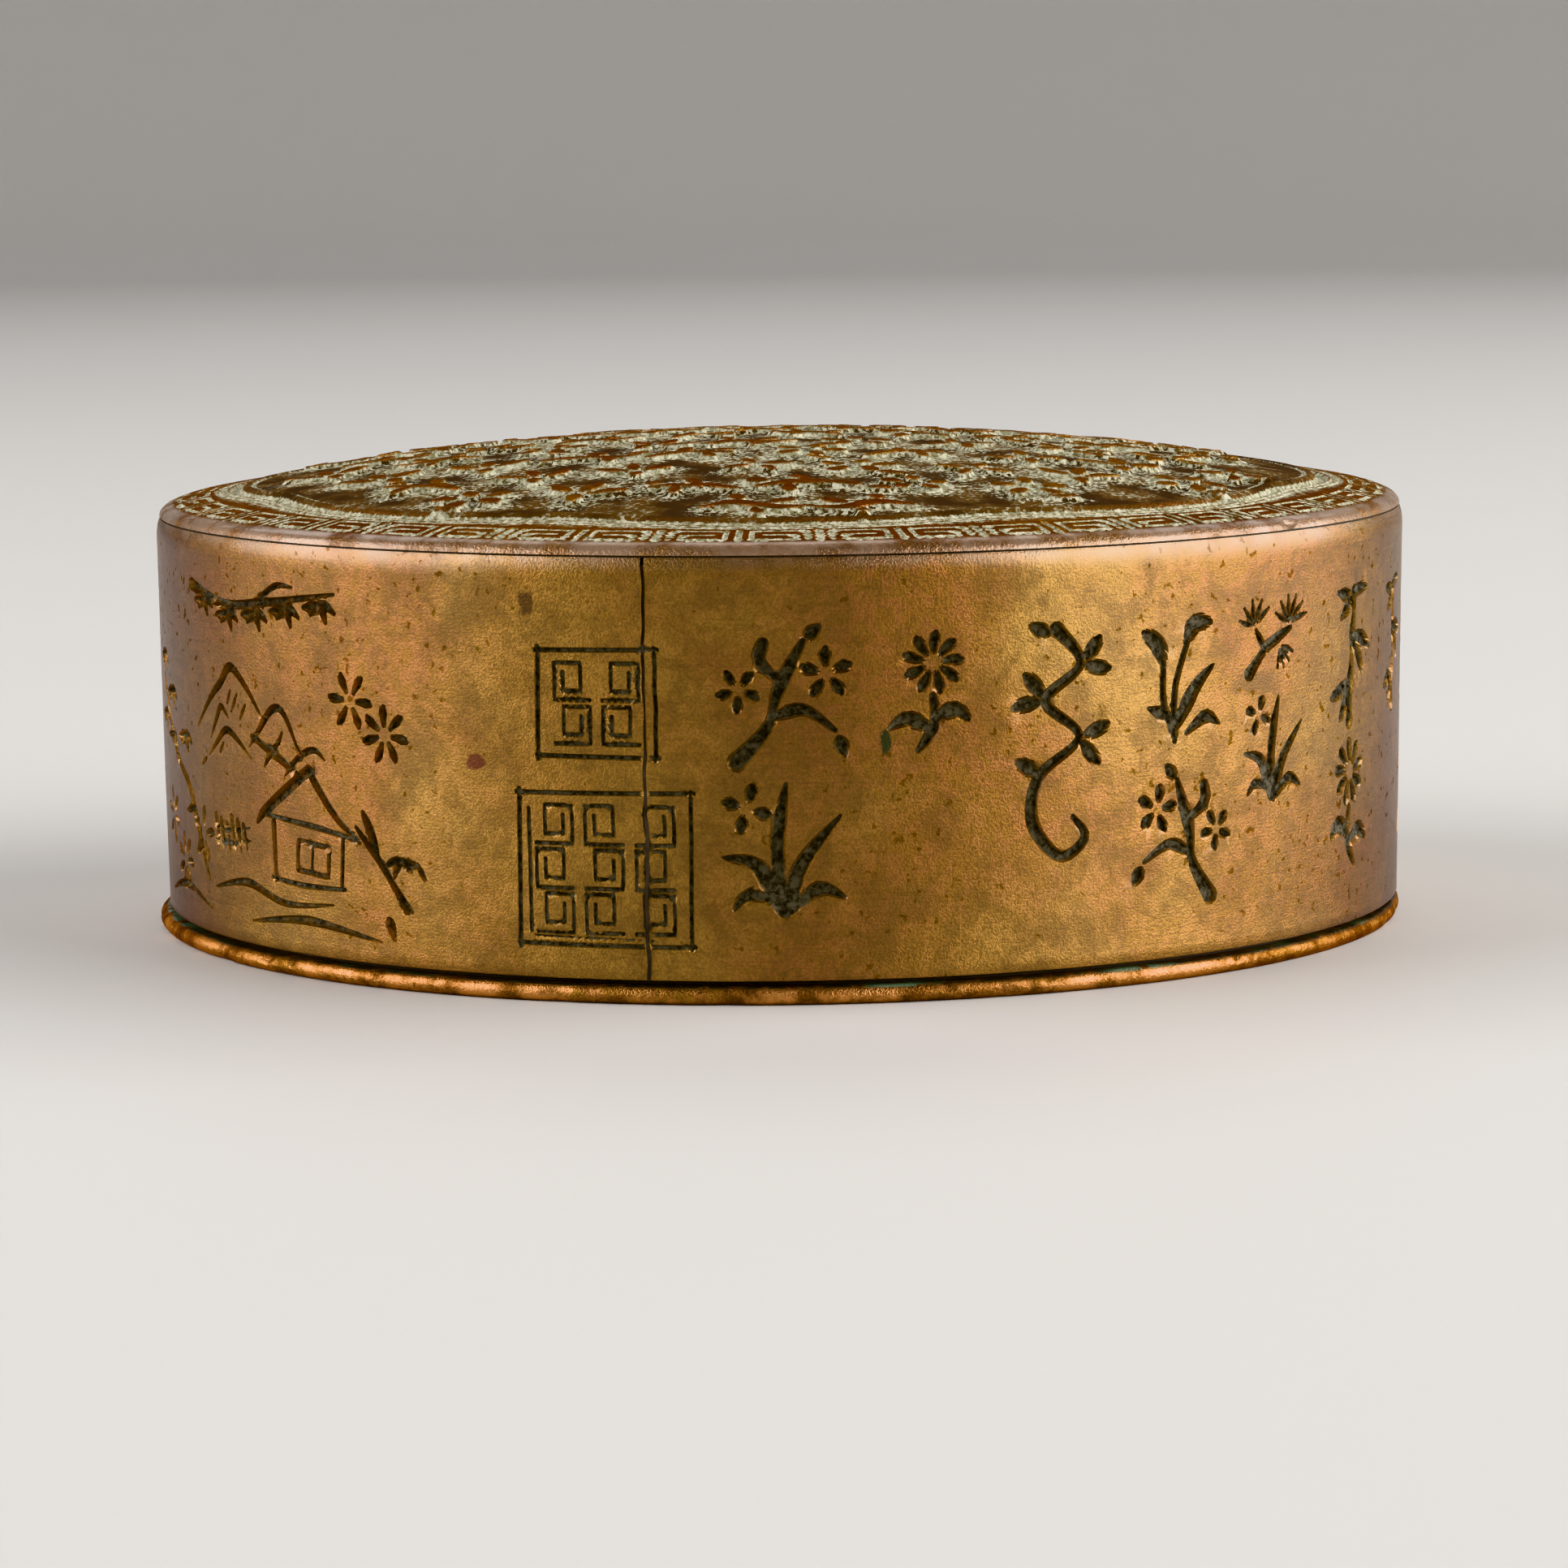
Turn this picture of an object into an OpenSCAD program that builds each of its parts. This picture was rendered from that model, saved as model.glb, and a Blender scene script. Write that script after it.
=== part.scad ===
// Round lidded ink box of chased copper sheet.
// The deep lid slides straight up off a soldered collar and shows a copper pan with an inked silk pad.
// +Z is up, the origin is the centre of the underside, and the front is towards -Y. Millimetres.

/* [Box] */
// Outer diameter of the lid's wall
body_d = 76; // [60:1:100]
// Height from the table to the lid's rim
rim_z = 25.75; // [22:0.25:40]
// Rise of the domed top from its rim to its crown
dome_rise = 3.4; // [2:0.1:5]
// Height of the raised panel over the dome
panel_rise = 0.35; // [0.2:0.05:0.6]

/* [Sheet] */
// Thickness of the lid's rolled wall
wall_t = 1.0; // [0.8:0.1:1.4]
// Thickness of the domed top plate
plate_t = 1.2; // [0.9:0.1:1.6]
// Thickness of the base plate, whose rounded edge is the foot flange
base_t = 1.0; // [0.8:0.1:1.4]
// How far the foot flange stands out past the lid's wall
flange_out = 0.2; // [0:0.05:0.6]

/* [Fits] */
// Radial clearance between the lid's wall and the collar that it slides on
slide_gap = 0.15; // [0.1:0.05:0.3]
// Open line between the lid's wall and the foot flange
foot_gap = 0.3; // [0.2:0.05:0.5]
// Clearance between the pan's lip and the bezel in the closed lid
seat_gap = 0.05; // [0.03:0.01:0.1]

/* [Ink well] */
// Thickness of the copper pan
pan_t = 0.5; // [0.4:0.1:0.8]
// Height of the silk pad at its crown
pad_h = 12; // [8:1:13]
// Thickness of the slate in the lid
slate_t = 1.6; // [1.2:0.1:2]

/* [Hidden] */

$fn = 180;
copper = [0.72, 0.47, 0.24];
relief_copper = [0.42, 0.25, 0.13];
red_copper = [0.68, 0.36, 0.22];
solder_grey = [0.25, 0.22, 0.19];
slate_black = [0.13, 0.14, 0.15];
lac_brown = [0.20, 0.10, 0.06];
silk_black = [0.05, 0.05, 0.06];

body_r = body_d / 2;
film_t = 0.12;                       // solder left between two soldered sheets
seam_w = 0.3;                        // width of a soldered butt seam
seam_sink = 0.05;                    // how far a seam's solder lies below the sheet's face

// Lid
edge_r = 0.6;                        // rounding of the top plate's edge
edge_h = 0.1;                        // upright edge left under that rounding
joint_z = rim_z - edge_r - edge_h;   // underside of the top plate, on its solder
dome_r = body_r - edge_r;            // radius where the dome starts
dome_step = 2;                       // spacing of a dome's profile points, shared by nested domes
land_r = dome_r * sqrt(1 - (joint_z + plate_t - rim_z) / dome_rise);   // inner edge of the soldering land
wall_in_r = body_r - wall_t;
wall_z = base_t + foot_gap;          // lower end of the lid's wall
wall_top_z = joint_z - film_t;
wall_seam_angle = -101.5;            // polar angle of the wall's seam, a little left of the front
fillet = 0.8;                        // leg of a solder fillet

// Lobed panel on the dome: eight shallow lobes round a groove
lobes = 8;
lobe_depth = 1.3;
groove_r = body_r * 0.90;            // outer edge of the groove, at the crown of a lobe
groove_w = 0.9;
groove_depth = 0.4;
lobe_steps = 9;                      // outline points in one lobe

// Slate, its bed and its bezel, inside the lid
bezel_t = 1.3;
bezel_h = 2.0;
fitting = 0.05;                      // clearance between pieces that are fitted together
bezel_z = joint_z - fillet - fitting - bezel_h;
bezel_lip = 0.7;                     // how far the burnished lip reaches under the slate
bezel_lip_t = 0.4;
slate_z = bezel_z + bezel_lip_t;
slate_r = wall_in_r - bezel_t - fitting;

// Base
flange_r = body_r + flange_out;
collar_t = 0.9;
collar_r = wall_in_r - slide_gap;
collar_in_r = collar_r - collar_t;
collar_z = base_t + film_t;
lip_t = 0.5;
lip_z = bezel_z - seat_gap - lip_t;  // underside of the pan's lip, on the collar's end
collar_seam_angle = 72;

// Pan and pad
pan_r = collar_in_r - 2 * fitting;
pan_z = base_t + 0.7;                // underside of the pan, held off the base by its lip
pan_corner = 2.5;                    // outer corner radius of the pan
lip_r = collar_r - 3 * fitting;
pad_z = pan_z + pan_t;
pad_r = pan_r - pan_t - 0.3;
pad_edge = 3;                        // rounding of the pad's upper edge
pad_crown = 1.2;                     // how far the pad's middle stands above its shoulder

// Points along an arc, from one polar angle to another.
function arc(cx, cz, r, from, to, n = 10) =
    [for (i = [0 : n]) let (a = from + (to - from) * i / n) [cx + r * cos(a), cz + r * sin(a)]];

// Height of the dome's upper face at a radius, as a paraboloid over the rim.
function dome_z(r) = rim_z + dome_rise * (1 - pow(r / dome_r, 2));

// Profile points up a dome, from radius r to the axis.
function dome_line(r, lift = 0) =
    let (n = ceil(r / dome_step) - 1)
    [for (x = concat([r], [for (i = [n : -1 : 0]) i * dome_step])) [x, dome_z(x) + lift]];

// The same points in the opposite order.
function backwards(points) = [for (i = [len(points) - 1 : -1 : 0]) points[i]];

// Radius of a lobed outline at a polar angle: a lobe faces the front, with a cusp each side.
function lobe_r(crown, a) = crown - lobe_depth * (1 - abs(cos(lobes / 2 * (a + 90))));

// Ring of square section: revolved, so that its walls stay true cylinders.
module ring(r_out, r_in, z, h) {
    translate([0, 0, z])
        difference() {
            cylinder(r = r_out, h = h);
            translate([0, 0, -1]) cylinder(r = r_in, h = h + 2);
        }
}

// Upright block that cuts a seam through a wall at a polar angle.
module seam_block(angle, r_out, z, h) {
    rotate([0, 0, angle])
        translate([0, -seam_w / 2, z])
            cube([r_out, seam_w, h]);
}

// Lobed outline as a flat shape.
module lobed_shape(crown) {
    steps = lobes * lobe_steps;
    polygon([for (i = [0 : steps - 1]) let (a = i * 360 / steps - 90 + 180 / lobes)
        lobe_r(crown, a) * [cos(a), sin(a)]]);
}

// Solid under the dome's upper face, lifted by some height, down to a level.
module dome_solid(r, floor_z, lift = 0) {
    rotate_extrude()
        polygon(concat([[0, floor_z], [r, floor_z]], dome_line(r, lift)));
}

// Domed plate with a rounded edge and a flat soldering land under it.
module plain_top_plate() {
    rotate_extrude()
        polygon(concat(
            [[body_r, joint_z]],
            arc(dome_r, rim_z - edge_r, edge_r, 0, 80),
            dome_line(dome_r),
            backwards(dome_line(land_r, -plate_t))));
}

module lid_top_plate() {
    groove_floor = dome_z(groove_r) - groove_depth;
    color(relief_copper) {
        difference() {
            plain_top_plate();
            translate([0, 0, groove_floor])
                linear_extrude(height = 3)
                    difference() {
                        lobed_shape(groove_r);
                        lobed_shape(groove_r - groove_w);
                    }
        }
        intersection() {
            translate([0, 0, rim_z - 0.2])
                linear_extrude(height = dome_rise + 2)
                    lobed_shape(groove_r - groove_w);
            difference() {
                dome_solid(groove_r, rim_z - 0.4, panel_rise);
                dome_solid(groove_r + 1, rim_z - 1, -plate_t / 2);
            }
        }
    }
}

module lid_wall() {
    color(copper)
        difference() {
            ring(body_r, wall_in_r, wall_z, wall_top_z - wall_z);
            seam_block(wall_seam_angle, body_r + 1, wall_z - 1, rim_z);
        }
}

// Solder ring: the film between plate and wall, and the fillet in the corner inside.
module lid_joint_solder() {
    color(solder_grey)
        rotate_extrude()
            polygon([[body_r - seam_sink, joint_z], [body_r - seam_sink, wall_top_z],
                     [wall_in_r, wall_top_z], [wall_in_r, joint_z - fillet],
                     [wall_in_r - fillet / 3, joint_z - fillet / 3],
                     [wall_in_r - fillet, joint_z]]);
}

module wall_seam_solder() {
    color(solder_grey)
        intersection() {
            ring(body_r - seam_sink, wall_in_r, wall_z, wall_top_z - wall_z);
            seam_block(wall_seam_angle, body_r, wall_z, wall_top_z - wall_z);
        }
}

// Lens of lac that beds the slate under the dome.
module slate_cement() {
    floor_z = slate_z + slate_t;
    color(lac_brown)
        rotate_extrude()
            polygon(concat([[0, floor_z], [land_r, floor_z]], dome_line(land_r, -plate_t)));
}

module ink_slate() {
    chamfer = 0.4;
    color(slate_black)
        translate([0, 0, slate_z])
            union() {
                cylinder(r1 = slate_r - chamfer, r2 = slate_r, h = chamfer);
                translate([0, 0, chamfer]) cylinder(r = slate_r, h = slate_t - chamfer);
            }
}

// Ring soldered in the lid, with a lip burnished in under the slate's edge.
module slate_bezel() {
    inner_r = wall_in_r - bezel_t;
    color(copper)
        rotate_extrude()
            polygon([[inner_r - bezel_lip, bezel_z], [wall_in_r, bezel_z],
                     [wall_in_r, bezel_z + bezel_h], [inner_r, bezel_z + bezel_h],
                     [inner_r, bezel_z + bezel_lip_t], [inner_r - bezel_lip, bezel_z + bezel_lip_t]]);
}

module base_plate() {
    half = base_t / 2;
    color(copper)
        rotate_extrude()
            polygon(concat([[0, 0]], arc(flange_r - half, half, half, -90, 90, 16), [[0, base_t]]));
}

module base_collar() {
    color(copper)
        difference() {
            ring(collar_r, collar_in_r, collar_z, lip_z - collar_z);
            seam_block(collar_seam_angle, body_r, collar_z - 1, rim_z);
        }
}

// Solder ring: the film under the collar, and the fillet in the corner inside.
module base_joint_solder() {
    color(solder_grey)
        rotate_extrude()
            polygon([[collar_r, base_t], [collar_r, collar_z], [collar_in_r, collar_z],
                     [collar_in_r, base_t + fillet],
                     [collar_in_r - fillet / 3, base_t + fillet / 3],
                     [collar_in_r - fillet, base_t]]);
}

module collar_seam_solder() {
    color(solder_grey)
        intersection() {
            ring(collar_r - seam_sink, collar_in_r, collar_z, lip_z - collar_z);
            seam_block(collar_seam_angle, body_r, collar_z, lip_z - collar_z);
        }
}

// Pressed pan that hangs in the collar by its turned-out lip.
module ink_pan() {
    inner_r = pan_r - pan_t;
    inner_corner = pan_corner - pan_t;
    color(red_copper)
        rotate_extrude()
            polygon(concat(
                [[0, pan_z]],
                arc(pan_r - pan_corner, pan_z + pan_corner, pan_corner, -90, 0),
                [[pan_r, lip_z], [lip_r, lip_z], [lip_r, lip_z + lip_t], [inner_r, lip_z + lip_t]],
                arc(inner_r - inner_corner, pan_z + pan_t + inner_corner, inner_corner, 0, -90),
                [[0, pan_z + pan_t]]));
}

// Plain closed solid of the inked pad: rounded below to fit the pan, crowned above.
module silk_pad() {
    low = pan_corner - pan_t;
    shoulder_z = pad_z + pad_h - pad_crown - pad_edge;
    crown = [for (i = [1 : 8]) let (x = (pad_r - pad_edge) * (1 - i / 8))
        [x, pad_z + pad_h - pad_crown * pow(x / (pad_r - pad_edge), 2)]];
    color(silk_black)
        rotate_extrude()
            polygon(concat(
                [[0, pad_z]],
                arc(pad_r - low, pad_z + low, low, -90, 0, 6),
                arc(pad_r - pad_edge, shoulder_z, pad_edge, 0, 90, 8),
                crown));
}

lid_top_plate();
lid_wall();
lid_joint_solder();
wall_seam_solder();
slate_cement();
ink_slate();
slate_bezel();
base_plate();
base_collar();
base_joint_solder();
collar_seam_solder();
ink_pan();
silk_pad();
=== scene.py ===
# %% [markdown]
# # A round ink box of chased copper
#
# The box keeps a calligrapher's ink. Its deep lid is one engraved sheet, rolled round and soldered under
# a domed top plate. The top plate is chased with a ring of fret and a field of raised sprigs. Under the
# lid are a collar, a copper pan and a pad of inked silk.
#
# The frame holds the sizes and the motion. This script adds the looks: the cut lines, the relief, the
# dents, the wrinkled silk and the patina. Shapes are worked out in millimetres, with +Z up and -Y in front.

# %% Load the frame
import math

import bpy
import numpy as np
from mathutils import Matrix, Vector
from mathutils.geometry import delaunay_2d_cdt


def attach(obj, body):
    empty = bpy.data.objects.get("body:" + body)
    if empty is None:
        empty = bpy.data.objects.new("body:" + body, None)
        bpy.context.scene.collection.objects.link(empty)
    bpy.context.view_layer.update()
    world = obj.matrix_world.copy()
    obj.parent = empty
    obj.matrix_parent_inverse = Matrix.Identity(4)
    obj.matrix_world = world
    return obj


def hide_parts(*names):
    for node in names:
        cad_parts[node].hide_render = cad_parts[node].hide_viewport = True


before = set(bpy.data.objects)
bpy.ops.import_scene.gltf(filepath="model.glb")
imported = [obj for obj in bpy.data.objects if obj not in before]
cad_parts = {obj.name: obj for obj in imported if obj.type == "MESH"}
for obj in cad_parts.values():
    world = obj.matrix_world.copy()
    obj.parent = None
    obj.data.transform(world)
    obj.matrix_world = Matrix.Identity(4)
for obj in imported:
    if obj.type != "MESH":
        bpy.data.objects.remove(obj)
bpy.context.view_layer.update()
MM = 0.001
TURN = 2 * math.pi

# %% [markdown]
# ## Sizes
#
# Nearly every piece of the box is round, so a node's inner and outer radius and its lowest and highest
# point say where it is. They are measured once, on the frame's own meshes.

# %% Measure the frame
def ring_of(node):
    """Smallest and largest distance from the Z axis, then lowest and highest z, in millimetres."""
    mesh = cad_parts[node].data
    places = np.empty(len(mesh.vertices) * 3, np.float32)
    mesh.vertices.foreach_get("co", places)
    x, y, z = places.reshape(-1, 3).T / MM
    radius = np.hypot(x, y)
    return [round(float(value), 3) for value in (radius.min(), radius.max(), z.min(), z.max())]


WALL_IN, WALL_R, WALL_LOW, WALL_TOP = ring_of("lid_wall")
_, _, PLATE_LOW, PLATE_TOP = ring_of("lid_top_plate")
_, FOOT_R, FOOT_LOW, FOOT_TOP = ring_of("base_plate")
COLLAR_IN, COLLAR_R, COLLAR_LOW, COLLAR_TOP = ring_of("base_collar")
_, LIP_R, PAN_LOW, LIP_TOP = ring_of("ink_pan")
_, PAD_R, PAD_LOW, PAD_TOP = ring_of("silk_pad")
_, SLATE_R, SLATE_LOW, SLATE_TOP = ring_of("ink_slate")
BEZEL_IN, BEZEL_R, BEZEL_LOW, BEZEL_TOP = ring_of("slate_bezel")
print("wall radius", WALL_R, "from", WALL_LOW, "to", WALL_TOP, "and the top at", PLATE_TOP)

# %% [markdown]
# ## Camera, floor and light
#
# The box is seen from a little above the desk, through a long lens, which keeps its sides nearly upright.
# A long lens far away flattens a round shape less than a short one close up.

# %% Camera
camera = bpy.data.objects.new("camera", bpy.data.cameras.new("camera"))
bpy.context.scene.collection.objects.link(camera)
bpy.context.scene.camera = camera
camera.data.sensor_width = 36
camera.data.lens = 131.9
camera.data.clip_start = 0.01
camera.data.clip_end = 10
PITCH = math.radians(-7.116)
ROLL = math.radians(-0.64)
camera.matrix_world = (
    Matrix.Translation((0.0001, -0.3529, 0.0517))
    @ Matrix.Rotation(math.radians(90) + PITCH, 4, "X")
    @ Matrix.Rotation(ROLL, 4, "Z")
)
print("camera lens", camera.data.lens, "mm")

# %% [markdown]
# The floor is a plain pale sheet. Metal shows what is round it, so the light matters as much as the
# colour: two wide soft boxes, one on each side, draw a bright band on each flank and along the rounded
# rim, and leave the middle of the wall a little darker.

# %% Floor and light
def plain_material(name, colour, roughness):
    """A material of one colour, for what isn't part of the box."""
    made = bpy.data.materials.new(name)
    made.use_nodes = True
    shader = made.node_tree.nodes["Principled BSDF"]
    shader.inputs["Base Color"].default_value = (*colour, 1)
    shader.inputs["Roughness"].default_value = roughness
    return made


def soft_box(name, azimuth, height, distance, size, power, colour):
    """An area light at an azimuth from the front, turned towards the box."""
    data = bpy.data.lights.new(name, "AREA")
    data.shape = "RECTANGLE"
    data.size, data.size_y = size
    data.energy = power
    data.color = colour
    light = bpy.data.objects.new(name, data)
    angle = math.radians(azimuth)
    light.location = (distance * math.sin(angle), -distance * math.cos(angle), height)
    aim = Vector((0, 0, 0.02)) - light.location
    light.rotation_euler = aim.to_track_quat("-Z", "Y").to_euler()
    bpy.context.scene.collection.objects.link(light)


# The floor is a sheet that sweeps up far from the box: radius and height along its profile, in metres.
sweep = np.radians(np.arange(-90, 1, 9))
floor_r = np.concatenate([[0.0, 0.2, 0.6], 1.1 + 0.5 * np.cos(sweep), [1.6]])
floor_z = np.concatenate([[0.0, 0.0, 0.0], 0.5 + 0.5 * np.sin(sweep), [1.1]]) - 0.00002
around = (np.arange(128) * TURN / 128)[:, None]
floor_places = np.stack([floor_r * np.cos(around), floor_r * np.sin(around), floor_z + 0 * around], -1)
floor_number = np.arange(128 * len(floor_r)).reshape(128, -1)
floor_next = np.roll(floor_number, -1, 0)
floor_faces = np.stack([floor_number[:, :-1], floor_number[:, 1:], floor_next[:, 1:], floor_next[:, :-1]], -1)
floor_mesh = bpy.data.meshes.new("floor")
floor_mesh.from_pydata(floor_places.reshape(-1, 3).tolist(), [], floor_faces.reshape(-1, 4).tolist())
floor_mesh.validate()
floor_mesh.shade_smooth()
floor = bpy.data.objects.new("floor", floor_mesh)
floor_mesh.materials.append(plain_material("pale_floor", (0.6, 0.59, 0.57), 0.6))
bpy.context.scene.collection.objects.link(floor)

soft_box("left_box", -82, 0.36, 0.75, (0.85, 0.7), 9.5, (1.0, 0.96, 0.95))
soft_box("right_box", 82, 0.34, 0.8, (1.25, 0.7), 18, (1.0, 0.97, 0.95))
soft_box("back_box", 180, 0.75, 0.8, (1.2, 0.5), 3, (0.95, 0.98, 1.0))
world = bpy.data.worlds.new("room")
world.use_nodes = True
world.node_tree.nodes["Background"].inputs["Color"].default_value = (0.92, 0.95, 1, 1)
world.node_tree.nodes["Background"].inputs["Strength"].default_value = 0.08
bpy.context.scene.world = world
bpy.context.scene.view_settings.view_transform = "Khronos PBR Neutral"

# %% [markdown]
# ## Helpers that make a piece
#
# A piece starts as arrays: places in millimetres and faces as rows of place numbers. `make_piece` turns
# them into a mesh whose object sits at the origin, shades it smoothly and keeps edges sharper than an
# angle crisp, as a graver leaves them. Extra arrays, such as how deep a cut is, become attributes that a
# material can read.

# %% Make a piece
PIECES = []                     # every new piece with its slot, for the finishes at the end


def make_piece(name, places, faces, body, node_names, slot, sharp=38, **attributes):
    """A mesh object from places in mm and faces as lists of place numbers, riding on a CAD body."""
    mesh = bpy.data.meshes.new(name)
    mesh.from_pydata((np.asarray(places) * MM).tolist(), [], faces)
    mesh.validate()
    mesh.shade_smooth()
    mesh.set_sharp_from_angle(angle=math.radians(sharp))
    for key, values in attributes.items():
        values = np.asarray(values, np.float32)
        kind, field = ("FLOAT", "value") if values.ndim == 1 else ("FLOAT_VECTOR", "vector")
        mesh.attributes.new(key, kind, "POINT").data.foreach_set(field, values.ravel())
    piece = bpy.data.objects.new(name, mesh)
    bpy.context.scene.collection.objects.link(piece)
    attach(piece, body)
    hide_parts(*node_names)
    PIECES.append((piece, slot))
    triangles = sum(len(face) - 2 for face in faces)
    print(f"{name}: {triangles} triangles")
    return piece


def turned(radius, height):
    """Places and faces of a solid of revolution.

    radius and height are arrays with a row for each angle and a column for each point of the profile.
    The place at angle a is (radius cos a, radius sin a, height). A profile whose first and last radius
    are 0 is closed by two poles; any other profile is closed on itself, as a ring.
    """
    rows, columns = radius.shape
    angle = (np.arange(rows) * TURN / rows)[:, None]
    grid = np.stack([radius * np.cos(angle), radius * np.sin(angle), height], -1)
    number = np.arange(rows * columns).reshape(rows, columns)
    next_row = np.roll(number, -1, 0)
    poles = abs(radius[:, [0, -1]]).max() < 1e-9
    if not poles:
        quads = np.stack([number, next_row, np.roll(next_row, -1, 1), np.roll(number, -1, 1)], -1)
        return grid.reshape(-1, 3), quads.reshape(-1, 4).tolist()
    inner = slice(1, columns - 1)
    ring = number[:, inner]
    beside = next_row[:, inner]
    quads = np.stack([ring[:, :-1], beside[:, :-1], beside[:, 1:], ring[:, 1:]], -1).reshape(-1, 4)
    first, last = number[0, 0], number[0, -1]
    caps = [(first, b, a) for a, b in zip(ring[:, 0], beside[:, 0])]
    caps += [(last, a, b) for a, b in zip(ring[:, -1], beside[:, -1])]
    return used_only(grid.reshape(-1, 3), [list(map(int, face)) for face in quads.tolist() + caps])


def used_only(places, faces):
    """Drops the places that no face uses."""
    flat = np.concatenate([np.asarray(face) for face in faces])
    kept, renumbered = np.unique(flat, return_inverse=True)
    ends = np.cumsum([len(face) for face in faces])[:-1]
    return places[kept], [part.tolist() for part in np.split(renumbered, ends)]


def waves(x, y, length, seed, count=7):
    """Gentle unevenness from -1 to 1: a sum of plane waves of about that length, in seeded directions."""
    random = np.random.default_rng(seed)
    heading = random.uniform(0, TURN, count)
    phase = random.uniform(0, TURN, count)
    pace = TURN / (length * random.uniform(0.7, 1.5, count))
    along = np.multiply.outer(x, np.cos(heading)) + np.multiply.outer(y, np.sin(heading))
    return np.sin(along * pace + phase).mean(-1) * 1.6


def step_up(value, low, high):
    """0 below low, 1 above high, and a smooth rise between them."""
    share = np.clip((value - low) / (high - low), 0, 1)
    return share * share * (3 - 2 * share)

# %% [markdown]
# ## Strokes
#
# A chaser works in strokes: a line that the tool follows, and a width that swells and tapers along it.
# Here a stroke is a path of points and a half width at each of them. The drawings are flat, in
# millimetres, and a few points are enough, because a smooth curve is passed through them.
#
# To cut a stroke into a sheet, two things are needed: points of the mesh that follow the stroke, so that
# its edges are crisp, and the depth at each point. `rows_along` gives the first. `cut_into` gives the
# second, from the distance between a point and the path.

# %% Draw with strokes
BANK = 0.2          # how far the side of a cut slopes in, in mm
EDGE_LIP = 0.1      # width of flat metal that is kept beside a cut


def stroke(points, half, depth=1.0, straight=False, pitch=0.4):
    """A path through the points, with half widths spread along it: (path, half widths, depth)."""
    points = np.asarray(points, float)
    widths = np.atleast_1d(np.asarray(half, float))
    runs = np.linalg.norm(np.diff(points, axis=0), axis=1)
    key = np.arange(len(points))
    spaced = np.concatenate([[0], np.cumsum(runs)])
    samples = max(3, int(math.ceil(spaced[-1] / pitch)) + 1)
    along = np.unique(np.concatenate([np.linspace(0, spaced[-1], samples), spaced if straight else []]))
    place = np.interp(along, spaced, key)
    if straight or len(points) == 2:
        path = np.stack([np.interp(place, key, points[:, axis]) for axis in (0, 1)], -1)
    else:
        path = smooth_curve(points, place)
    spread = np.interp(place / key[-1], np.linspace(0, 1, len(widths)), widths)
    return path, spread, depth


def smooth_curve(points, place):
    """A Catmull-Rom curve: each piece leaves a point in the direction of that point's two neighbours."""
    last = len(points) - 1
    start = np.clip(np.floor(place).astype(int), 0, last - 1)
    t = (place - start)[:, None]
    before, here, there, after = (points[np.clip(start + k, 0, last)] for k in (-1, 0, 1, 2))
    return 0.5 * (
        2 * here
        + (there - before) * t
        + (2 * before - 5 * here + 4 * there - after) * t**2
        + (3 * here - before - 3 * there + after) * t**3
    )


def rows_along(strokes, bank=BANK):
    """Points in rows beside every path: its middle, the foot and edge of its banks, and just outside."""
    found = []
    for path, half, _ in strokes:
        run = np.gradient(path, axis=0)
        run /= np.maximum(np.linalg.norm(run, axis=1, keepdims=True), 1e-9)
        side = np.stack([-run[:, 1], run[:, 0]], -1)
        foot = half - np.minimum(bank, 0.6 * half)
        found.append(path)
        for offset in (foot, half, half + EDGE_LIP):
            kept = offset > 0.05
            for sign in (-1, 1):
                found.append((path + sign * offset[:, None] * side)[kept])
        for end, ahead in ((0, -1), (-1, 1)):
            reach = np.array([foot[end], half[end], half[end] + EDGE_LIP])[int(half[end] < 0.14):]
            fan = np.radians([-60, -20, 20, 60]) if half[end] > 0.12 else np.zeros(1)
            forward = ahead * run[end] * np.cos(fan)[:, None] + side[end] * np.sin(fan)[:, None]
            found.append((path[end] + reach[:, None, None] * forward).reshape(-1, 2))
    return np.concatenate(found)


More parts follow.
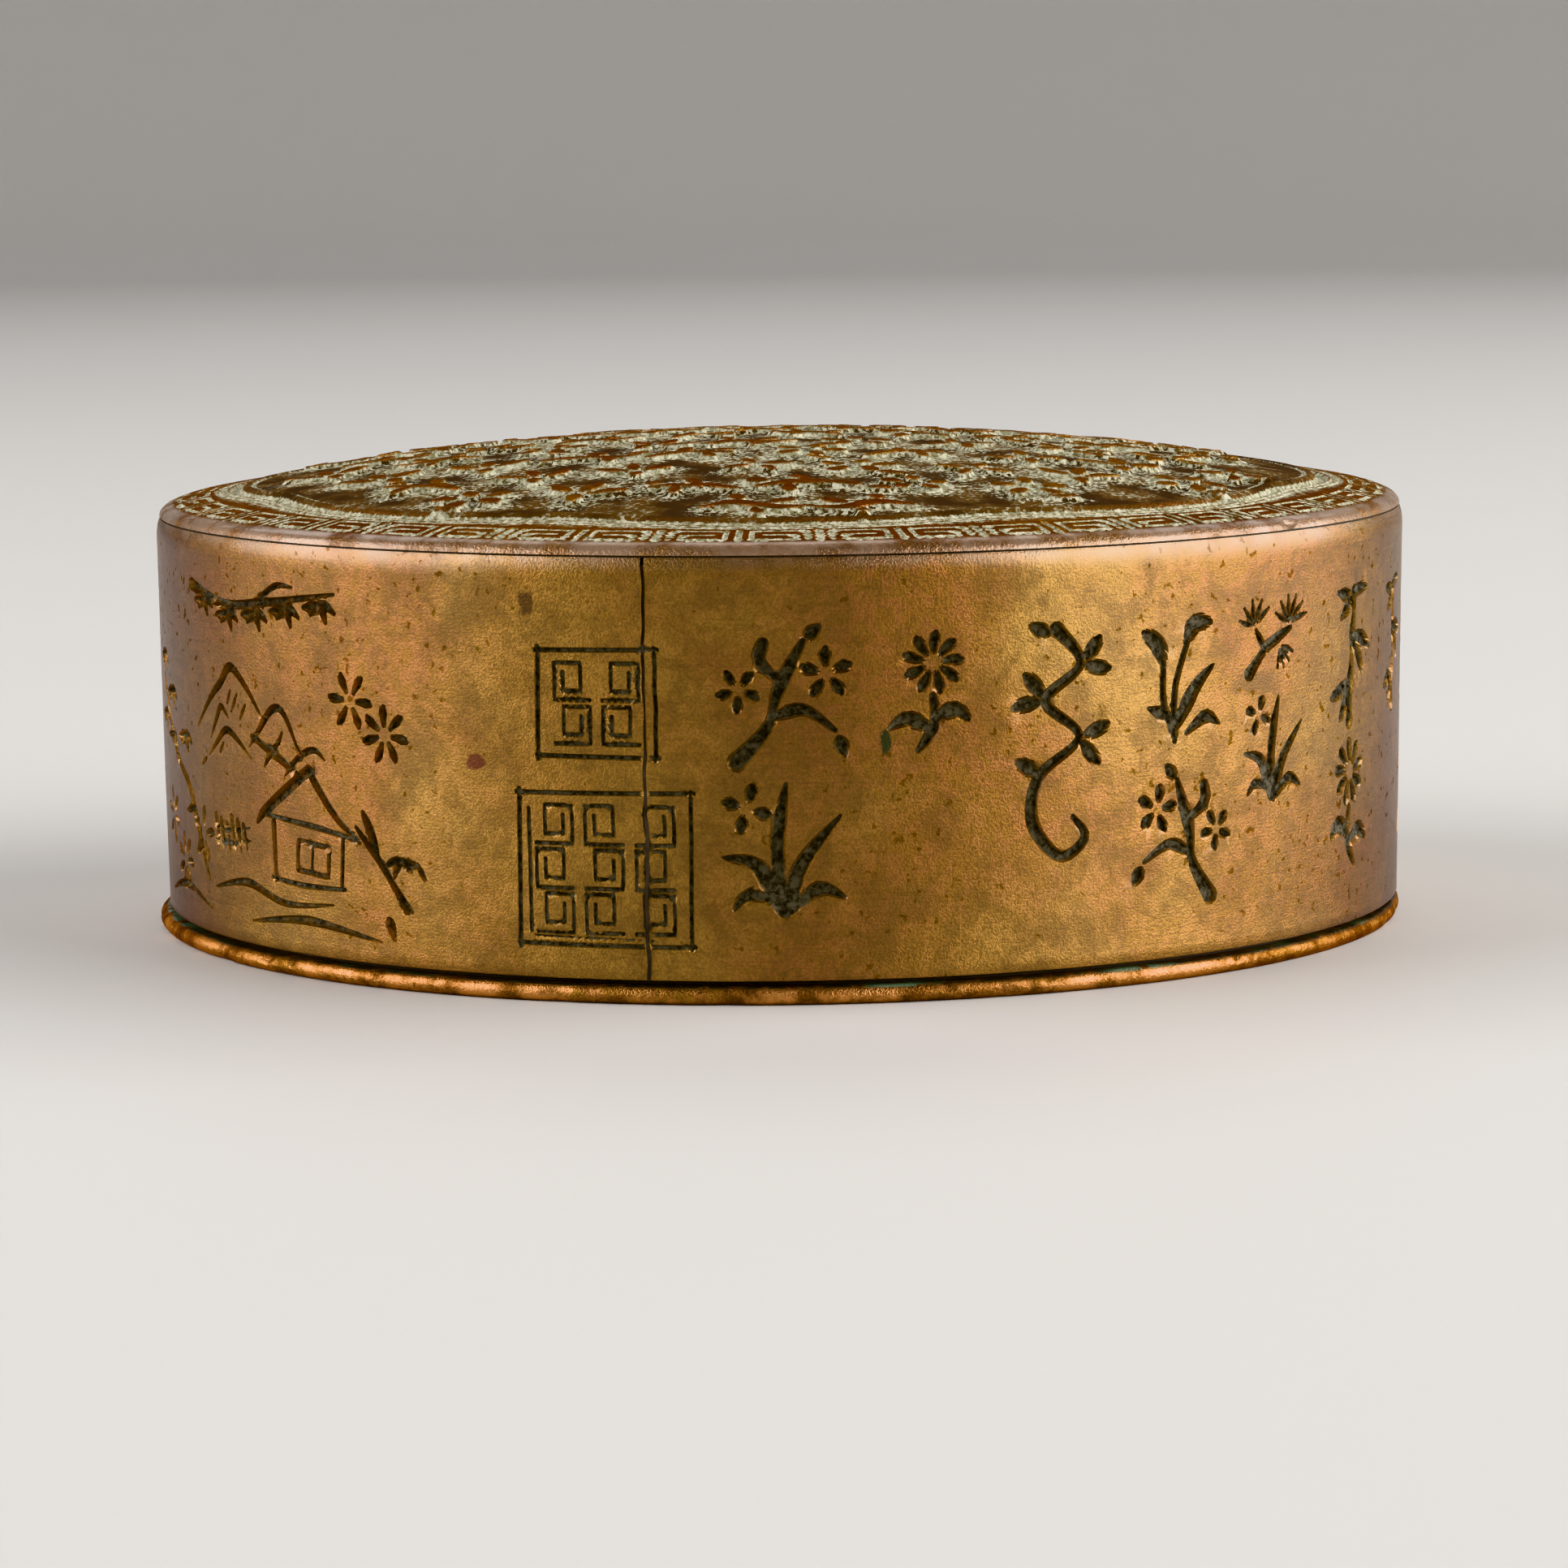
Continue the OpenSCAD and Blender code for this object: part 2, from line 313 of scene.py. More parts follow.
def cut_into(points, strokes, bank=BANK, near=0.5):
    """Three arrays for the points: how deep they lie in a cut, how inked they are, and how near a cut is.

    With h a stroke's half width and g the distance to its path, depth is (h - g) / bank, ink is
    (h - g) / (h / 2) and nearness is 1 + (h - g) / near, each held between 0 and 1. Depth is multiplied by
    the stroke's own and is less for a thin stroke. A stroke deeper than 1 has lost most of its ink to
    handling. Where strokes cross, the largest counts.
    """
    depth, ink, close = np.zeros((3, len(points)))
    order = np.argsort(points[:, 0])
    sorted_x = points[order, 0]
    for path, half, strength in strokes:
        margin = half.max() + near + 0.01
        low, high = path.min(0) - margin, path.max(0) + margin
        first, last = np.searchsorted(sorted_x, [low[0], high[0]])
        chosen = order[first:last]
        chosen = chosen[(points[chosen, 1] > low[1]) & (points[chosen, 1] < high[1])]
        if not len(chosen):
            continue
        start, run = path[:-1], np.diff(path, axis=0)
        off = points[chosen][:, None] - start
        share = np.clip((off * run).sum(2) / np.maximum((run**2).sum(1), 1e-12), 0, 1)
        gap = np.linalg.norm(off - share[..., None] * run, axis=2)
        wide = half[:-1] + share * np.diff(half)
        best = (wide - gap).argmax(1)[:, None]
        wide, gap = (np.take_along_axis(values, best, 1)[:, 0] for values in (wide, gap))
        inside = wide - gap
        sunk = strength * np.clip(wide / 0.28, 0.3, 1) * np.clip(inside / np.minimum(bank, 0.6 * wide), 0, 1)
        depth[chosen] = np.maximum(depth[chosen], sunk)
        ink[chosen] = np.maximum(ink[chosen], np.clip(inside / (0.5 * wide), 0, 1 if strength <= 1 else 0.62))
        close[chosen] = np.maximum(close[chosen], np.clip(1 + inside / near, 0, 1))
    return depth, ink, close


def put(strokes, x, y, turn=0.0, size=1.0, flip=False, bold=1.0, deep=1.0):
    """The same strokes moved to (x, y), turned by degrees, sized, mirrored, made bolder and deeper."""
    angle = math.radians(turn)
    spin = np.array([[math.cos(angle), math.sin(angle)], [-math.sin(angle), math.cos(angle)]])
    mirror = np.array([-1 if flip else 1, 1])
    return [
        ((path * mirror * size) @ spin + (x, y), half * size * bold, depth * deep)
        for path, half, depth in strokes
    ]


def sheet_triangles(points):
    """Delaunay triangles over flat points: the points in the order that they come back, and the faces."""
    rounded = np.round(points / 0.04).astype(np.int64)
    _, first = np.unique(rounded, axis=0, return_index=True)
    return delaunay(points[np.sort(first)])


def delaunay(points):
    made = delaunay_2d_cdt([Vector(p) for p in points.tolist()], [], [], 0, 1e-6, False)
    return np.array([tuple(p) for p in made[0]]), [list(face) for face in made[2]]


print("a stroke is a path, half widths and a depth")

# %% [markdown]
# ## Plant strokes
#
# Chasers repeat a few tool shapes. A leaf swells and tapers to both ends. A dab has a blunt head, where the
# tool goes in, and a thin tail. Petals, needles and bamboo joints are made of them, and sprays of those.

# %% Leaves, dabs and small sprays
LEAF = np.array([0.12, 0.75, 1.0, 0.7, 0.08])
DAB = np.array([0.55, 1.0, 0.9, 0.6, 0.15])
JOINT = np.array([1.0, 0.62, 0.55, 0.62, 1.0])


def shaped(form, x, y, heading, length, width, bend=0.0):
    """One tool stroke from (x, y) towards a heading in degrees, bowed sideways by bend of its length."""
    angle = math.radians(heading)
    ahead = np.array([math.cos(angle), math.sin(angle)])
    aside = np.array([-ahead[1], ahead[0]])
    start = np.array([x, y], float)
    middle = start + length * (0.5 * ahead + bend * aside)
    return stroke([start, middle, start + length * ahead], form * width)


def fan(form, x, y, first, last, count, length, width, gap=0.0):
    """Strokes that spread from (x, y) between two headings, each starting a gap away from it."""
    headings = np.linspace(first, last, count)
    starts = [(x + gap * math.cos(math.radians(h)), y + gap * math.sin(math.radians(h))) for h in headings]
    return [shaped(form, *start, h, length, width, 0.05) for start, h in zip(starts, headings)]


def blossom(x, y, reach=1.5, petals=7, width=0.26, turn=0.0):
    """A round flower: petals that widen outwards from an open middle."""
    last = turn + 360 * (1 - 1 / petals)
    return fan(DAB[::-1], x, y, turn, last, petals, reach * 0.72, width, reach * 0.28)


def bamboo_tuft(x, y, size=1.0, width=0.26):
    """Four leaves that hang from one knot of a twig."""
    hang = [(196, 1.5), (228, 1.15), (-24, 1.7), (-62, 1.5)]
    return [shaped(LEAF, x, y, heading, length * size, width, 0.08) for heading, length in hang]


def plum_spray():
    """A crooked branch with two flowers and buds."""
    return [
        stroke([(-2.8, -3.4), (-1.1, -1.5), (-0.5, 0.5), (0.9, 3.3)], [0.48, 0.34, 0.22, 0.4, 0.16]),
        stroke([(-0.9, -1.0), (0.9, -0.5), (2.7, -1.7)], [0.16, 0.36, 0.24, 0.12]),
        stroke([(-0.4, 1.1), (-1.5, 2.2), (-1.3, 3.2)], [0.14, 0.3, 0.36, 0.3]),
        *blossom(2.2, 1.5, 1.35, 5, 0.34, 20),
        *blossom(-2.7, 0.6, 1.15, 5, 0.3, 50),
        shaped(DAB, 2.9, -2.2, -70, 1.0, 0.42),
        shaped(DAB, 1.2, 3.6, 40, 0.9, 0.4),
    ]


def orchid():
    """Long leaves that arch out of one root, with an open flower."""
    return [
        stroke([(0.0, -3.5), (-0.8, -0.9), (-2.9, 1.7)], [0.26, 0.42, 0.3, 0.08]),
        stroke([(0.2, -3.5), (0.5, 0.1), (0.0, 3.4)], [0.24, 0.34, 0.36, 0.1]),
        stroke([(0.3, -3.5), (1.5, -1.0), (3.4, -0.5)], [0.2, 0.44, 0.3, 0.08]),
        stroke([(-0.2, -3.4), (-1.7, -2.2), (-3.1, -2.7)], [0.2, 0.38, 0.1]),
        stroke([(0.4, -2.9), (2.0, -2.5), (2.8, -3.3)], [0.14, 0.34, 0.1]),
        *blossom(2.1, 2.1, 1.2, 4, 0.34, 15),
    ]


def bamboo_spray():
    """Three joints of a cane, with leaves from each knot."""
    return [
        stroke([(0.0, -3.8), (0.1, -1.7)], JOINT * 0.42),
        stroke([(0.15, -1.2), (0.3, 0.9)], JOINT * 0.4),
        stroke([(0.35, 1.4), (0.55, 3.4)], JOINT * 0.36),
        *fan(LEAF, 0.1, -1.4, 200, 238, 2, 2.5, 0.4, 0.3),
        *fan(LEAF, 0.3, 1.1, -58, -20, 2, 2.6, 0.4, 0.3),
        *fan(LEAF, 0.5, 3.3, 175, 215, 2, 2.0, 0.34, 0.3),
        shaped(LEAF, 0.6, 3.2, 10, 1.9, 0.34, 0.1),
    ]


def pine_spray():
    """A knotted branch with fans of needles."""
    return [
        stroke([(-2.9, -2.7), (-0.9, -0.9), (1.9, 0.3)], [0.46, 0.3, 0.38, 0.16]),
        stroke([(-1.2, -1.1), (-2.2, 0.4)], [0.16, 0.3, 0.14]),
        *fan(LEAF, 1.9, 0.6, 15, 155, 6, 1.9, 0.2, 0.25),
        *fan(LEAF, -2.2, 0.7, 40, 165, 5, 1.7, 0.2, 0.25),
        *fan(LEAF, 0.6, -0.9, -100, -20, 4, 1.5, 0.2, 0.25),
    ]


def reeds():
    """Two bent stems with heavy heads and a folded leaf."""
    return [
        stroke([(-0.9, -3.6), (-0.6, -0.6), (0.6, 2.0)], [0.16, 0.2, 0.18]),
        stroke([(0.6, 2.1), (1.3, 2.9), (2.5, 2.8)], [0.2, 0.5, 0.46, 0.16]),
        stroke([(-0.9, -3.4), (-1.5, -1.2), (-1.3, 0.9)], [0.16, 0.2, 0.18]),
        stroke([(-1.3, 1.1), (-1.6, 2.2), (-2.5, 3.0)], [0.2, 0.48, 0.44, 0.16]),
        stroke([(-0.7, -2.8), (0.9, -0.8), (2.5, 0.3)], [0.2, 0.44, 0.3, 0.08]),
        stroke([(-1.0, -2.2), (-2.6, -1.4)], [0.16, 0.38, 0.12]),
        stroke([(0.0, -3.3), (1.6, -2.6), (2.6, -3.2)], [0.14, 0.38, 0.1]),
    ]


def vine():
    """A hanging stem that winds to a curled end, with leaves on its bends."""
    return [
        stroke(
            [(0.2, 6.6), (-1.3, 4.6), (0.9, 2.6), (-1.2, 0.5), (1.3, -1.6), (1.7, -4.2), (0.0, -6.2),
             (-1.6, -5.2), (-0.8, -4.0)],
            [0.38, 0.22, 0.3, 0.2, 0.28, 0.34, 0.28, 0.24, 0.14],
        ),
        *fan(LEAF, -1.3, 4.6, 130, 190, 2, 1.7, 0.42, 0.3),
        *fan(LEAF, 0.9, 2.6, -10, 50, 2, 1.8, 0.44, 0.3),
        *fan(LEAF, -1.2, 0.5, 160, 230, 2, 1.8, 0.42, 0.3),
        shaped(DAB, 1.6, -1.3, 30, 1.3, 0.42),
        shaped(DAB, 0.8, 6.4, 25, 1.2, 0.42),
    ]


def daisy():
    """A round flower head on a leafy stem."""
    return [
        *blossom(0.0, 1.8, 1.8, 9, 0.3, 10),
        stroke([(0.2, -0.2), (0.5, -1.9), (-0.4, -3.6)], [0.2, 0.3, 0.34, 0.14]),
        stroke([(0.4, -1.6), (1.7, -0.9), (2.6, -1.5)], [0.16, 0.46, 0.36, 0.12]),
        stroke([(0.3, -2.3), (-1.2, -1.7), (-2.3, -2.4)], [0.16, 0.46, 0.36, 0.12]),
    ]


SPRAYS = (plum_spray, orchid, bamboo_spray, reeds, vine, daisy)
print("sprays:", sum(len(spray()) for spray in SPRAYS), "strokes")

# %% [markdown]
# ## The wall's drawing
#
# The drawing is laid out on the flat sheet. Across it runs the arc length from the front, and up it runs
# the height. To the left are a hut under far hills, a bent tree and flowers. Over the seam are two square
# seals, which hold only fret. To the right stand columns of sprays, cut with a broad tool, and more of both
# goes on round the back.

# %% Seals and landscape
def square_spiral(x, y, size, half, turns=2, flip=False):
    """A line that winds inwards at right angles, each side shorter by a pitch than the one before."""
    pitch = size / (2 * turns)
    side = size
    place = np.array([-size / 2, -size / 2])
    points = [place]
    for leg in range(4 * turns - 1):
        heading = [(1, 0), (0, 1), (-1, 0), (0, -1)][leg % 4]
        place = place + side * np.array(heading)
        points.append(place)
        side -= pitch if leg % 2 else 0
    points = np.array(points) * (-1 if flip else 1, 1)
    return stroke(points[: 4 * turns - 1] + (x, y), half, 0.8, straight=True)


def seal(x, y, width, height, across, half=0.15):
    """A square frame, its lines run past the corners a little, round square spirals."""
    left, right, low, high = x - width / 2, x + width / 2, y - height / 2, y + height / 2
    over = 0.18
    lines = [
        stroke([(left - over, high), (right + over, high + 0.1)], half, 0.9),
        stroke([(left, high + over), (left - 0.1, low - over)], half * 1.15, 0.9),
        stroke([(right, high + over), (right - 0.05, low - over)], half, 0.9),
        stroke([(left - over, low), (right + over, low - 0.05)], half, 0.9),
    ]
    if across > 2:
        lines.append(stroke([(left + 0.55, high - 0.9), (left + 0.6, low + 0.7)], half, 0.8))
        lines.append(stroke([(left + 0.8, low + 0.45), (right - 2.2, low + 0.3)], half * 0.7, 0.6))
    pitch = (width - 1.2) / across
    for column in range(across):
        for row in range(across):
            spot_x = x + (column - (across - 1) / 2) * pitch
            spot_y = y + (row - (across - 1) / 2) * (height - 1.0) / across
            flip = (row + column) % 2 == 1
            lines.append(square_spiral(spot_x, spot_y, pitch * 0.74, half * 0.95, 2, flip))
    return lines


def hut():
    """A thatched hut with an open window, on a step of rock."""
    return [
        stroke([(-4.8, 3.0), (-2.6, 4.5), (-0.3, 6.9)], [0.1, 0.2, 0.24], 0.8),
        stroke([(-0.3, 6.9), (1.9, 5.4), (4.3, 3.8), (5.0, 3.1)], [0.26, 0.3, 0.26, 0.12]),
        stroke([(-4.6, 3.1), (-1.0, 3.5), (4.2, 3.7)], [0.1, 0.16, 0.1], 0.7),
        stroke([(0.5, 6.4), (3.0, 7.5), (5.6, 8.3)], [0.1, 0.26, 0.12], 0.9),
        stroke([(-3.4, 3.0), (-3.3, 0.2)], 0.13, 0.7),
        stroke([(3.2, 3.3), (3.0, -0.2)], [0.2, 0.14], 0.9),
        stroke([(-2.2, 2.4), (0.7, 2.5), (0.8, 0.7), (-2.1, 0.6), (-2.2, 2.4)], 0.14, 0.8, straight=True),
        stroke([(-0.7, 2.4), (-0.6, 0.7)], 0.1, 0.6),
        stroke([(-3.6, 0.0), (0.2, -0.2), (3.4, -0.1)], [0.1, 0.15, 0.1], 0.7),
    ]


def fence():
    """Leaning pales and two rails."""
    pales = [
        stroke([(0.75 * k, 2.3 - 0.25 * (k % 3)), (0.75 * k + 0.35, 0.1 + 0.2 * (k % 2))], [0.18, 0.14, 0.06])
        for k in range(6)
    ]
    rails = [
        stroke([(-0.3, height), (2.0, height - 0.15), (4.6, height + 0.1)], [0.06, 0.12, 0.05], 0.6)
        for height in (1.6, 0.8)
    ]
    return pales + rails


def ridge(points, weight=1.0):
    """A hill's outline, cut heavier on the crest."""
    return stroke(points, np.array([0.06, 0.2, 0.26, 0.2, 0.07]) * weight)


def hills():
    """Rocks and peaks that overlap, with short cuts for their shaded sides."""
    return [
        ridge([(-7.2, 0.8), (-5.4, 3.9), (-3.9, 4.3), (-2.0, 2.6), (-0.6, 1.3)]),
        ridge([(-2.6, 3.4), (-0.4, 5.6), (1.9, 6.9), (3.6, 5.6), (5.4, 4.4), (8.2, 2.0)], 1.15),
        ridge([(-0.9, 0.4), (1.2, 1.7), (2.9, 2.2), (4.5, 1.2), (6.0, 0.1)], 0.9),
        ridge([(2.4, 3.1), (3.6, 3.9), (4.4, 3.0), (5.6, 1.4)], 0.85),
        ridge([(-9.8, 1.0), (-8.6, 1.7), (-6.8, 1.0), (-5.2, -0.4)], 0.85),
        ridge([(-4.6, 1.9), (-3.6, 1.2), (-2.6, 0.0)], 0.85),
        shaped(LEAF, -0.2, 4.3, -52, 1.4, 0.17),
        shaped(LEAF, 1.0, 5.0, -55, 1.7, 0.18),
        shaped(LEAF, 2.0, 5.2, -60, 1.2, 0.16),
        shaped(LEAF, -5.0, 2.7, -58, 1.4, 0.17),
        shaped(LEAF, 3.4, 1.2, -48, 1.0, 0.16),
        shaped(LEAF, 6.6, -0.2, -30, 1.1, 0.16),
        shaped(LEAF, -8.6, 0.4, -40, 1.2, 0.15),
    ]


def bent_tree():
    """A bare trunk that leans over the bank, with twigs."""
    return [
        stroke([(-5.4, -5.6), (-3.4, -2.2), (-2.2, -0.4), (0.4, 1.2), (2.2, 3.0), (4.2, 5.6)],
               [0.1, 0.26, 0.24, 0.18, 0.26, 0.2]),
        stroke([(-3.0, -1.6), (-1.5, -1.9)], [0.1, 0.2, 0.07]),
        stroke([(0.4, 1.2), (1.0, 2.7)], [0.1, 0.2, 0.07]),
        stroke([(1.6, 2.3), (3.2, 2.2)], [0.1, 0.18, 0.06]),
    ]


def shrub():
    """Stiff twigs from one root, with bamboo leaves between."""
    return [
        stroke([(-2.0, -3.4), (0.2, -0.4), (2.4, 1.9)], [0.3, 0.2, 0.24, 0.1]),
        stroke([(0.4, 0.1), (1.0, 1.6), (1.7, 2.9)], [0.1, 0.26, 0.3, 0.14]),
        stroke([(-1.6, -2.9), (-2.4, -3.5)], [0.3, 0.14]),
        *bamboo_tuft(-1.7, 0.0, 1.0, 0.24),
        shaped(LEAF, -3.6, -1.4, 60, 1.4, 0.2),
        shaped(DAB, -0.4, -4.2, -110, 1.5, 0.34),
    ]


def landscape():
    """The whole scene, about 30 mm wide, its ground line at 0 and its middle at 0."""
    hanging = [(-4.6, 19.5), (-1.4, 18.9), (1.8, 19.1), (4.9, 19.5), (8.0, 19.9)]
    on_tree = [(-14.4, 15.4), (-12.0, 13.4), (-14.6, 11.8), (-8.9, 11.0)]
    flowers = [(-12.6, 5.6, 6), (-9.6, 3.2, 7), (13.0, 12.6, 7), (10.4, 14.4, 6), (-5.8, 5.2, 5)]
    drawn = [
        *put(hut(), 6.2, 3.6, -2, 0.95, True),
        *put(fence(), -3.6, 4.4, 3, 0.95),
        *put(hills(), 0.4, 10.0, 0, 0.8, True),
        *put(bent_tree(), -10.4, 8.2, 0, 1.0, True),
        *put(shrub(), 12.6, 5.6, 0, 0.85, True),
        stroke([(-6.4, 20.0), (-1.6, 19.2), (3.2, 19.6), (9.4, 20.4)], [0.3, 0.22, 0.2, 0.08]),
        stroke([(2.0, 19.5), (4.2, 20.6), (5.8, 20.6)], [0.12, 0.16, 0.06]),
        stroke([(-13.8, 1.0), (-9.4, 1.8), (-4.8, 0.9)], [0.06, 0.22, 0.06]),
        stroke([(-4.0, 2.3), (0.2, 3.0), (4.2, 2.2), (8.6, 2.5)], [0.06, 0.2, 0.16, 0.06]),
        stroke([(0.6, 0.8), (6.4, 1.4), (12.4, 0.7)], [0.06, 0.22, 0.06]),
    ]
    for x, y in hanging + on_tree:
        drawn += bamboo_tuft(x, y, 0.95, 0.24)
    for x, y, petals in flowers:
        drawn += blossom(x, y, 1.6, petals, 0.24, 11 * x)
    return drawn


def wall_drawing():
    """Every stroke on the wall, placed by arc length from the front and by height."""
    drawn = put(landscape(), -37, 1.9, bold=1.35, deep=1.4)
    drawn += seal(-10.4, 16.8, 6.8, 5.9, 2)
    drawn += seal(-10.1, 7.5, 10.0, 8.5, 3)
    columns = [
        (plum_spray, 0.3, 17.0, 0, 1.0), (orchid, 0.2, 8.8, 0, 1.05),
        (daisy, 8.3, 17.3, -6, 0.92),
        (vine, 16.0, 13.9, 0, 1.0),
        (reeds, 24.2, 17.3, 6, 0.98), (plum_spray, 24.3, 8.2, -8, 0.95),
        (pine_spray, 31.9, 19.2, 0, 0.8), (orchid, 32.1, 12.7, -4, 0.85),
        (bamboo_spray, 40.6, 17.3, 0, 1.05), (daisy, 40.9, 8.4, 5, 1.05),
        (bamboo_spray, 49.2, 17.2, 4, 1.0), (reeds, 57.0, 16.6, 0, 1.05), (pine_spray, 57.2, 8.0, 0, 1.0),
        (vine, 65.5, 13.6, 0, 1.05), (plum_spray, 73.6, 17.0, 4, 1.05), (bamboo_spray, 73.8, 8.2, 0, 0.95),
        (orchid, 150.0, 9.2, 0, 1.05), (daisy, 150.2, 17.8, 0, 0.95), (vine, 158.2, 13.2, 0, 1.05),
        (plum_spray, 166.8, 17.2, 0, 1.0), (reeds, 166.6, 8.6, 0, 1.0),
    ]
    for number, (spray, x, y, turn, size) in enumerate(columns):
        drawn += put(spray(), x, y, turn, size, number % 2 == 1, 1.25)
    drawn += put(landscape(), 96, 1.9, 0, 1.0, True, 1.2, 1.4)
    drawn += put(landscape(), 129, 1.9, bold=1.2, deep=1.4)
    return drawn


DRAWING = wall_drawing()
print("the wall's drawing has", len(DRAWING), "strokes")

# %% [markdown]
# ## Rolled sheets
#
# The lid's wall and the base's collar are strips of sheet. Points are spread over the flat strip: a coarse
# net everywhere, close rows along every stroke, and even rows on its rims. A Delaunay triangulation joins
# them into triangles that are as even as can be. Then the strip is rolled: arc length becomes an angle,
# and height stays. A fine even grid would need ten times the triangles for cuts that are just as crisp.

# %% Roll a sheet
SEAM_HALF = 0.1                 # half the gap that the solder fills


def make_sheet(name, body, node, slot, size, seam, drawing=(), cut=0.3, worn=1.0, lean=0.0):
    """A rolled, engraved sheet as one closed solid.

    size is (inner radius, outer radius, low, high) in mm, and seam a polar angle in degrees. The flat
    strip's point (along, up) goes to the angle along / radius and to the height up. Near the strip's rims
    up runs on round the edge, by a profile, to the inner face. A cut sinks it by cut times its depth. The
    outer face leans out by lean times the height over its middle.
    """
    inner, outer, low, high = size
    length = TURN * outer
    start = math.radians(seam + 90) * outer + SEAM_HALF
    end = start + length - 2 * SEAM_HALF
    profile = np.array([
        (low - 0.9, inner, low),
        (low - 0.12, outer - 0.14, low),
        (low - 0.02, outer - 0.05, low + 0.03),
        (low + 0.12, outer, low + 0.12),
        (high - 1.2, outer, high - 1.2),
        (high - 0.8, outer - 0.03 * worn, high - 0.8),
        (high - 0.4, outer - 0.1 * worn, high - 0.4),
        (high - 0.12, outer - 0.18 * worn, high - 0.12),
        (high + 0.02, outer - 0.24 * worn, high),
        (high + 0.75, inner, high),
    ])
    doubled = list(drawing) + put(drawing, length, 0)
    drawn = [s for s in doubled if s[0][:, 0].max() > start - 1 and s[0][:, 0].min() < end + 1]

    rims = profile[:, 0]
    bars = np.concatenate([rims[:4], np.arange(low + 0.45, high - 1.3, 0.33), rims[4:]])
    ends = np.concatenate([np.stack([np.full(len(bars), x), bars], -1) for x in (start, end)])
    rows = np.stack(np.meshgrid(np.linspace(start, end, 361)[1:-1], rims), -1).reshape(-1, 2)
    net_x = np.arange(start + 0.8, end - 0.4, 0.85)
    net_y = np.arange(low + 0.7, high - 1.6, 0.85)
    net_x, net_y = np.meshgrid(net_x, net_y)
    net = np.stack([net_x + 0.4 * (np.arange(len(net_x)) % 2)[:, None], net_y], -1).reshape(-1, 2)
    laid = [ends, rows]
    if drawn:
        close = cut_into(net, drawn, near=0.45)[2]
        beside = rows_along(drawn)
        inside = (beside[:, 0] > start + 0.1) & (beside[:, 0] < end - 0.1)
        inside &= (beside[:, 1] > low + 0.25) & (beside[:, 1] < high - 1.3)
        laid += [net[close <= 0], beside[inside]]
    else:
        laid.append(net)
    points, faces = sheet_triangles(np.concatenate(laid))
    depth, ink, _ = cut_into(points, drawn)

    along, up = points.T
    radius, height = (np.interp(up, rims, profile[:, column]) for column in (1, 2))
    body_part = step_up(up, low, low + 1) * (1 - step_up(up, high - 1.5, high - 0.3))
    turned_to = along / outer
    bent = waves(38 * np.sin(turned_to), 38 * np.cos(turned_to) + up, 26, 5)
    radius = radius - cut * depth + 0.03 * body_part * (bent - 1)
    radius = radius + lean * (height - (low + high) / 2) * (radius - inner) / (outer - inner)
    to_end = np.minimum(along - start, end - along)
    along = along + seam_wobble(height) * np.exp(-to_end / 1.5)
    angle = along / outer
    places = np.stack([radius * np.sin(angle), -radius * np.cos(angle), height], -1)

    bottom, top = (np.flatnonzero(abs(up - edge) < 1e-4) for edge in rims[[0, -1]])
    bottom, top = (edge[np.argsort(points[edge, 0])] for edge in (bottom, top))
    faces += np.stack([bottom[:-1], top[:-1], top[1:], bottom[1:]], -1).tolist()
    for x, step in ((start, 1), (end, -1)):
        cap = np.flatnonzero(abs(points[:, 0] - x) < 1e-4)
        faces.append(cap[np.argsort(up[cap])][::step].tolist())
    flat = np.column_stack([points, 0 * depth]) / 10
    sheet = make_piece(name, places, faces, body, [node], slot, cut=depth, ink=ink, plan=flat)
    return sheet, (start, end)


def seam_wobble(height):
    """How far a seam wanders from a straight line, in mm: a sum of two sines of the height."""
    return 0.05 * np.sin(height * 0.9) + 0.03 * np.sin(height * 2.7 + 1)


def seam_strip(name, body, node, size, ends, sunk=0.05):
    """The solder that fills a rolled sheet's seam: four lines up the gap, joined into a closed strip."""
    inner, outer, low, high = size
    start, end = ends
    height = np.arange(low + 0.02, high - 0.02, 0.4)
    sway = seam_wobble(height)
    rough = 0.02 * np.sin(height * 5.1) + 0.015 * np.sin(height * 11.3)
    lines = []
    far = end - TURN * outer
    for along, radius in ((start, outer - sunk), (start, inner), (far, inner), (far, outer - sunk)):
        angle = (along + sway) / outer
        out = radius + (rough if radius > inner else 0)
        lines.append(np.stack([out * np.sin(angle), -out * np.cos(angle), height], -1))
    rows = len(height)
    number = np.arange(4 * rows).reshape(4, rows)
    faces = []
    for here, beside in zip(number, np.roll(number, -1, 0)):
        faces += np.stack([here[:-1], here[1:], beside[1:], beside[:-1]], -1).tolist()
    faces += [number[:, 0].tolist(), number[::-1, -1].tolist()]
    return make_piece(name, np.concatenate(lines), faces, body, [node], "solder")


WALL_SIZE = (WALL_IN, WALL_R, WALL_LOW, WALL_TOP)
COLLAR_SIZE = (COLLAR_IN, COLLAR_R, COLLAR_LOW, COLLAR_TOP)
_, wall_ends = make_sheet(
    "engraved_wall", "lid", "lid_wall", "wall_copper", WALL_SIZE, -101.5, DRAWING, lean=0.015)
_, collar_ends = make_sheet(
    "fitted_collar", "base", "base_collar", "plain_copper", COLLAR_SIZE, 72, worn=0.4)
seam_strip("wall_seam", "lid", "wall_seam_solder", WALL_SIZE, wall_ends)
seam_strip("collar_seam", "base", "collar_seam_solder", COLLAR_SIZE, collar_ends)

# %% [markdown]
# ## The lid's top
#
# The top plate is a shallow dome. From its edge inwards it has a plain rim, a band of square fret, a lobed
# groove that shows eight shallow lobes, and a field of small raised sprigs with a matted ground round
# them. A distance that follows the lobes, rather than the plain radius, places the fret and the groove.

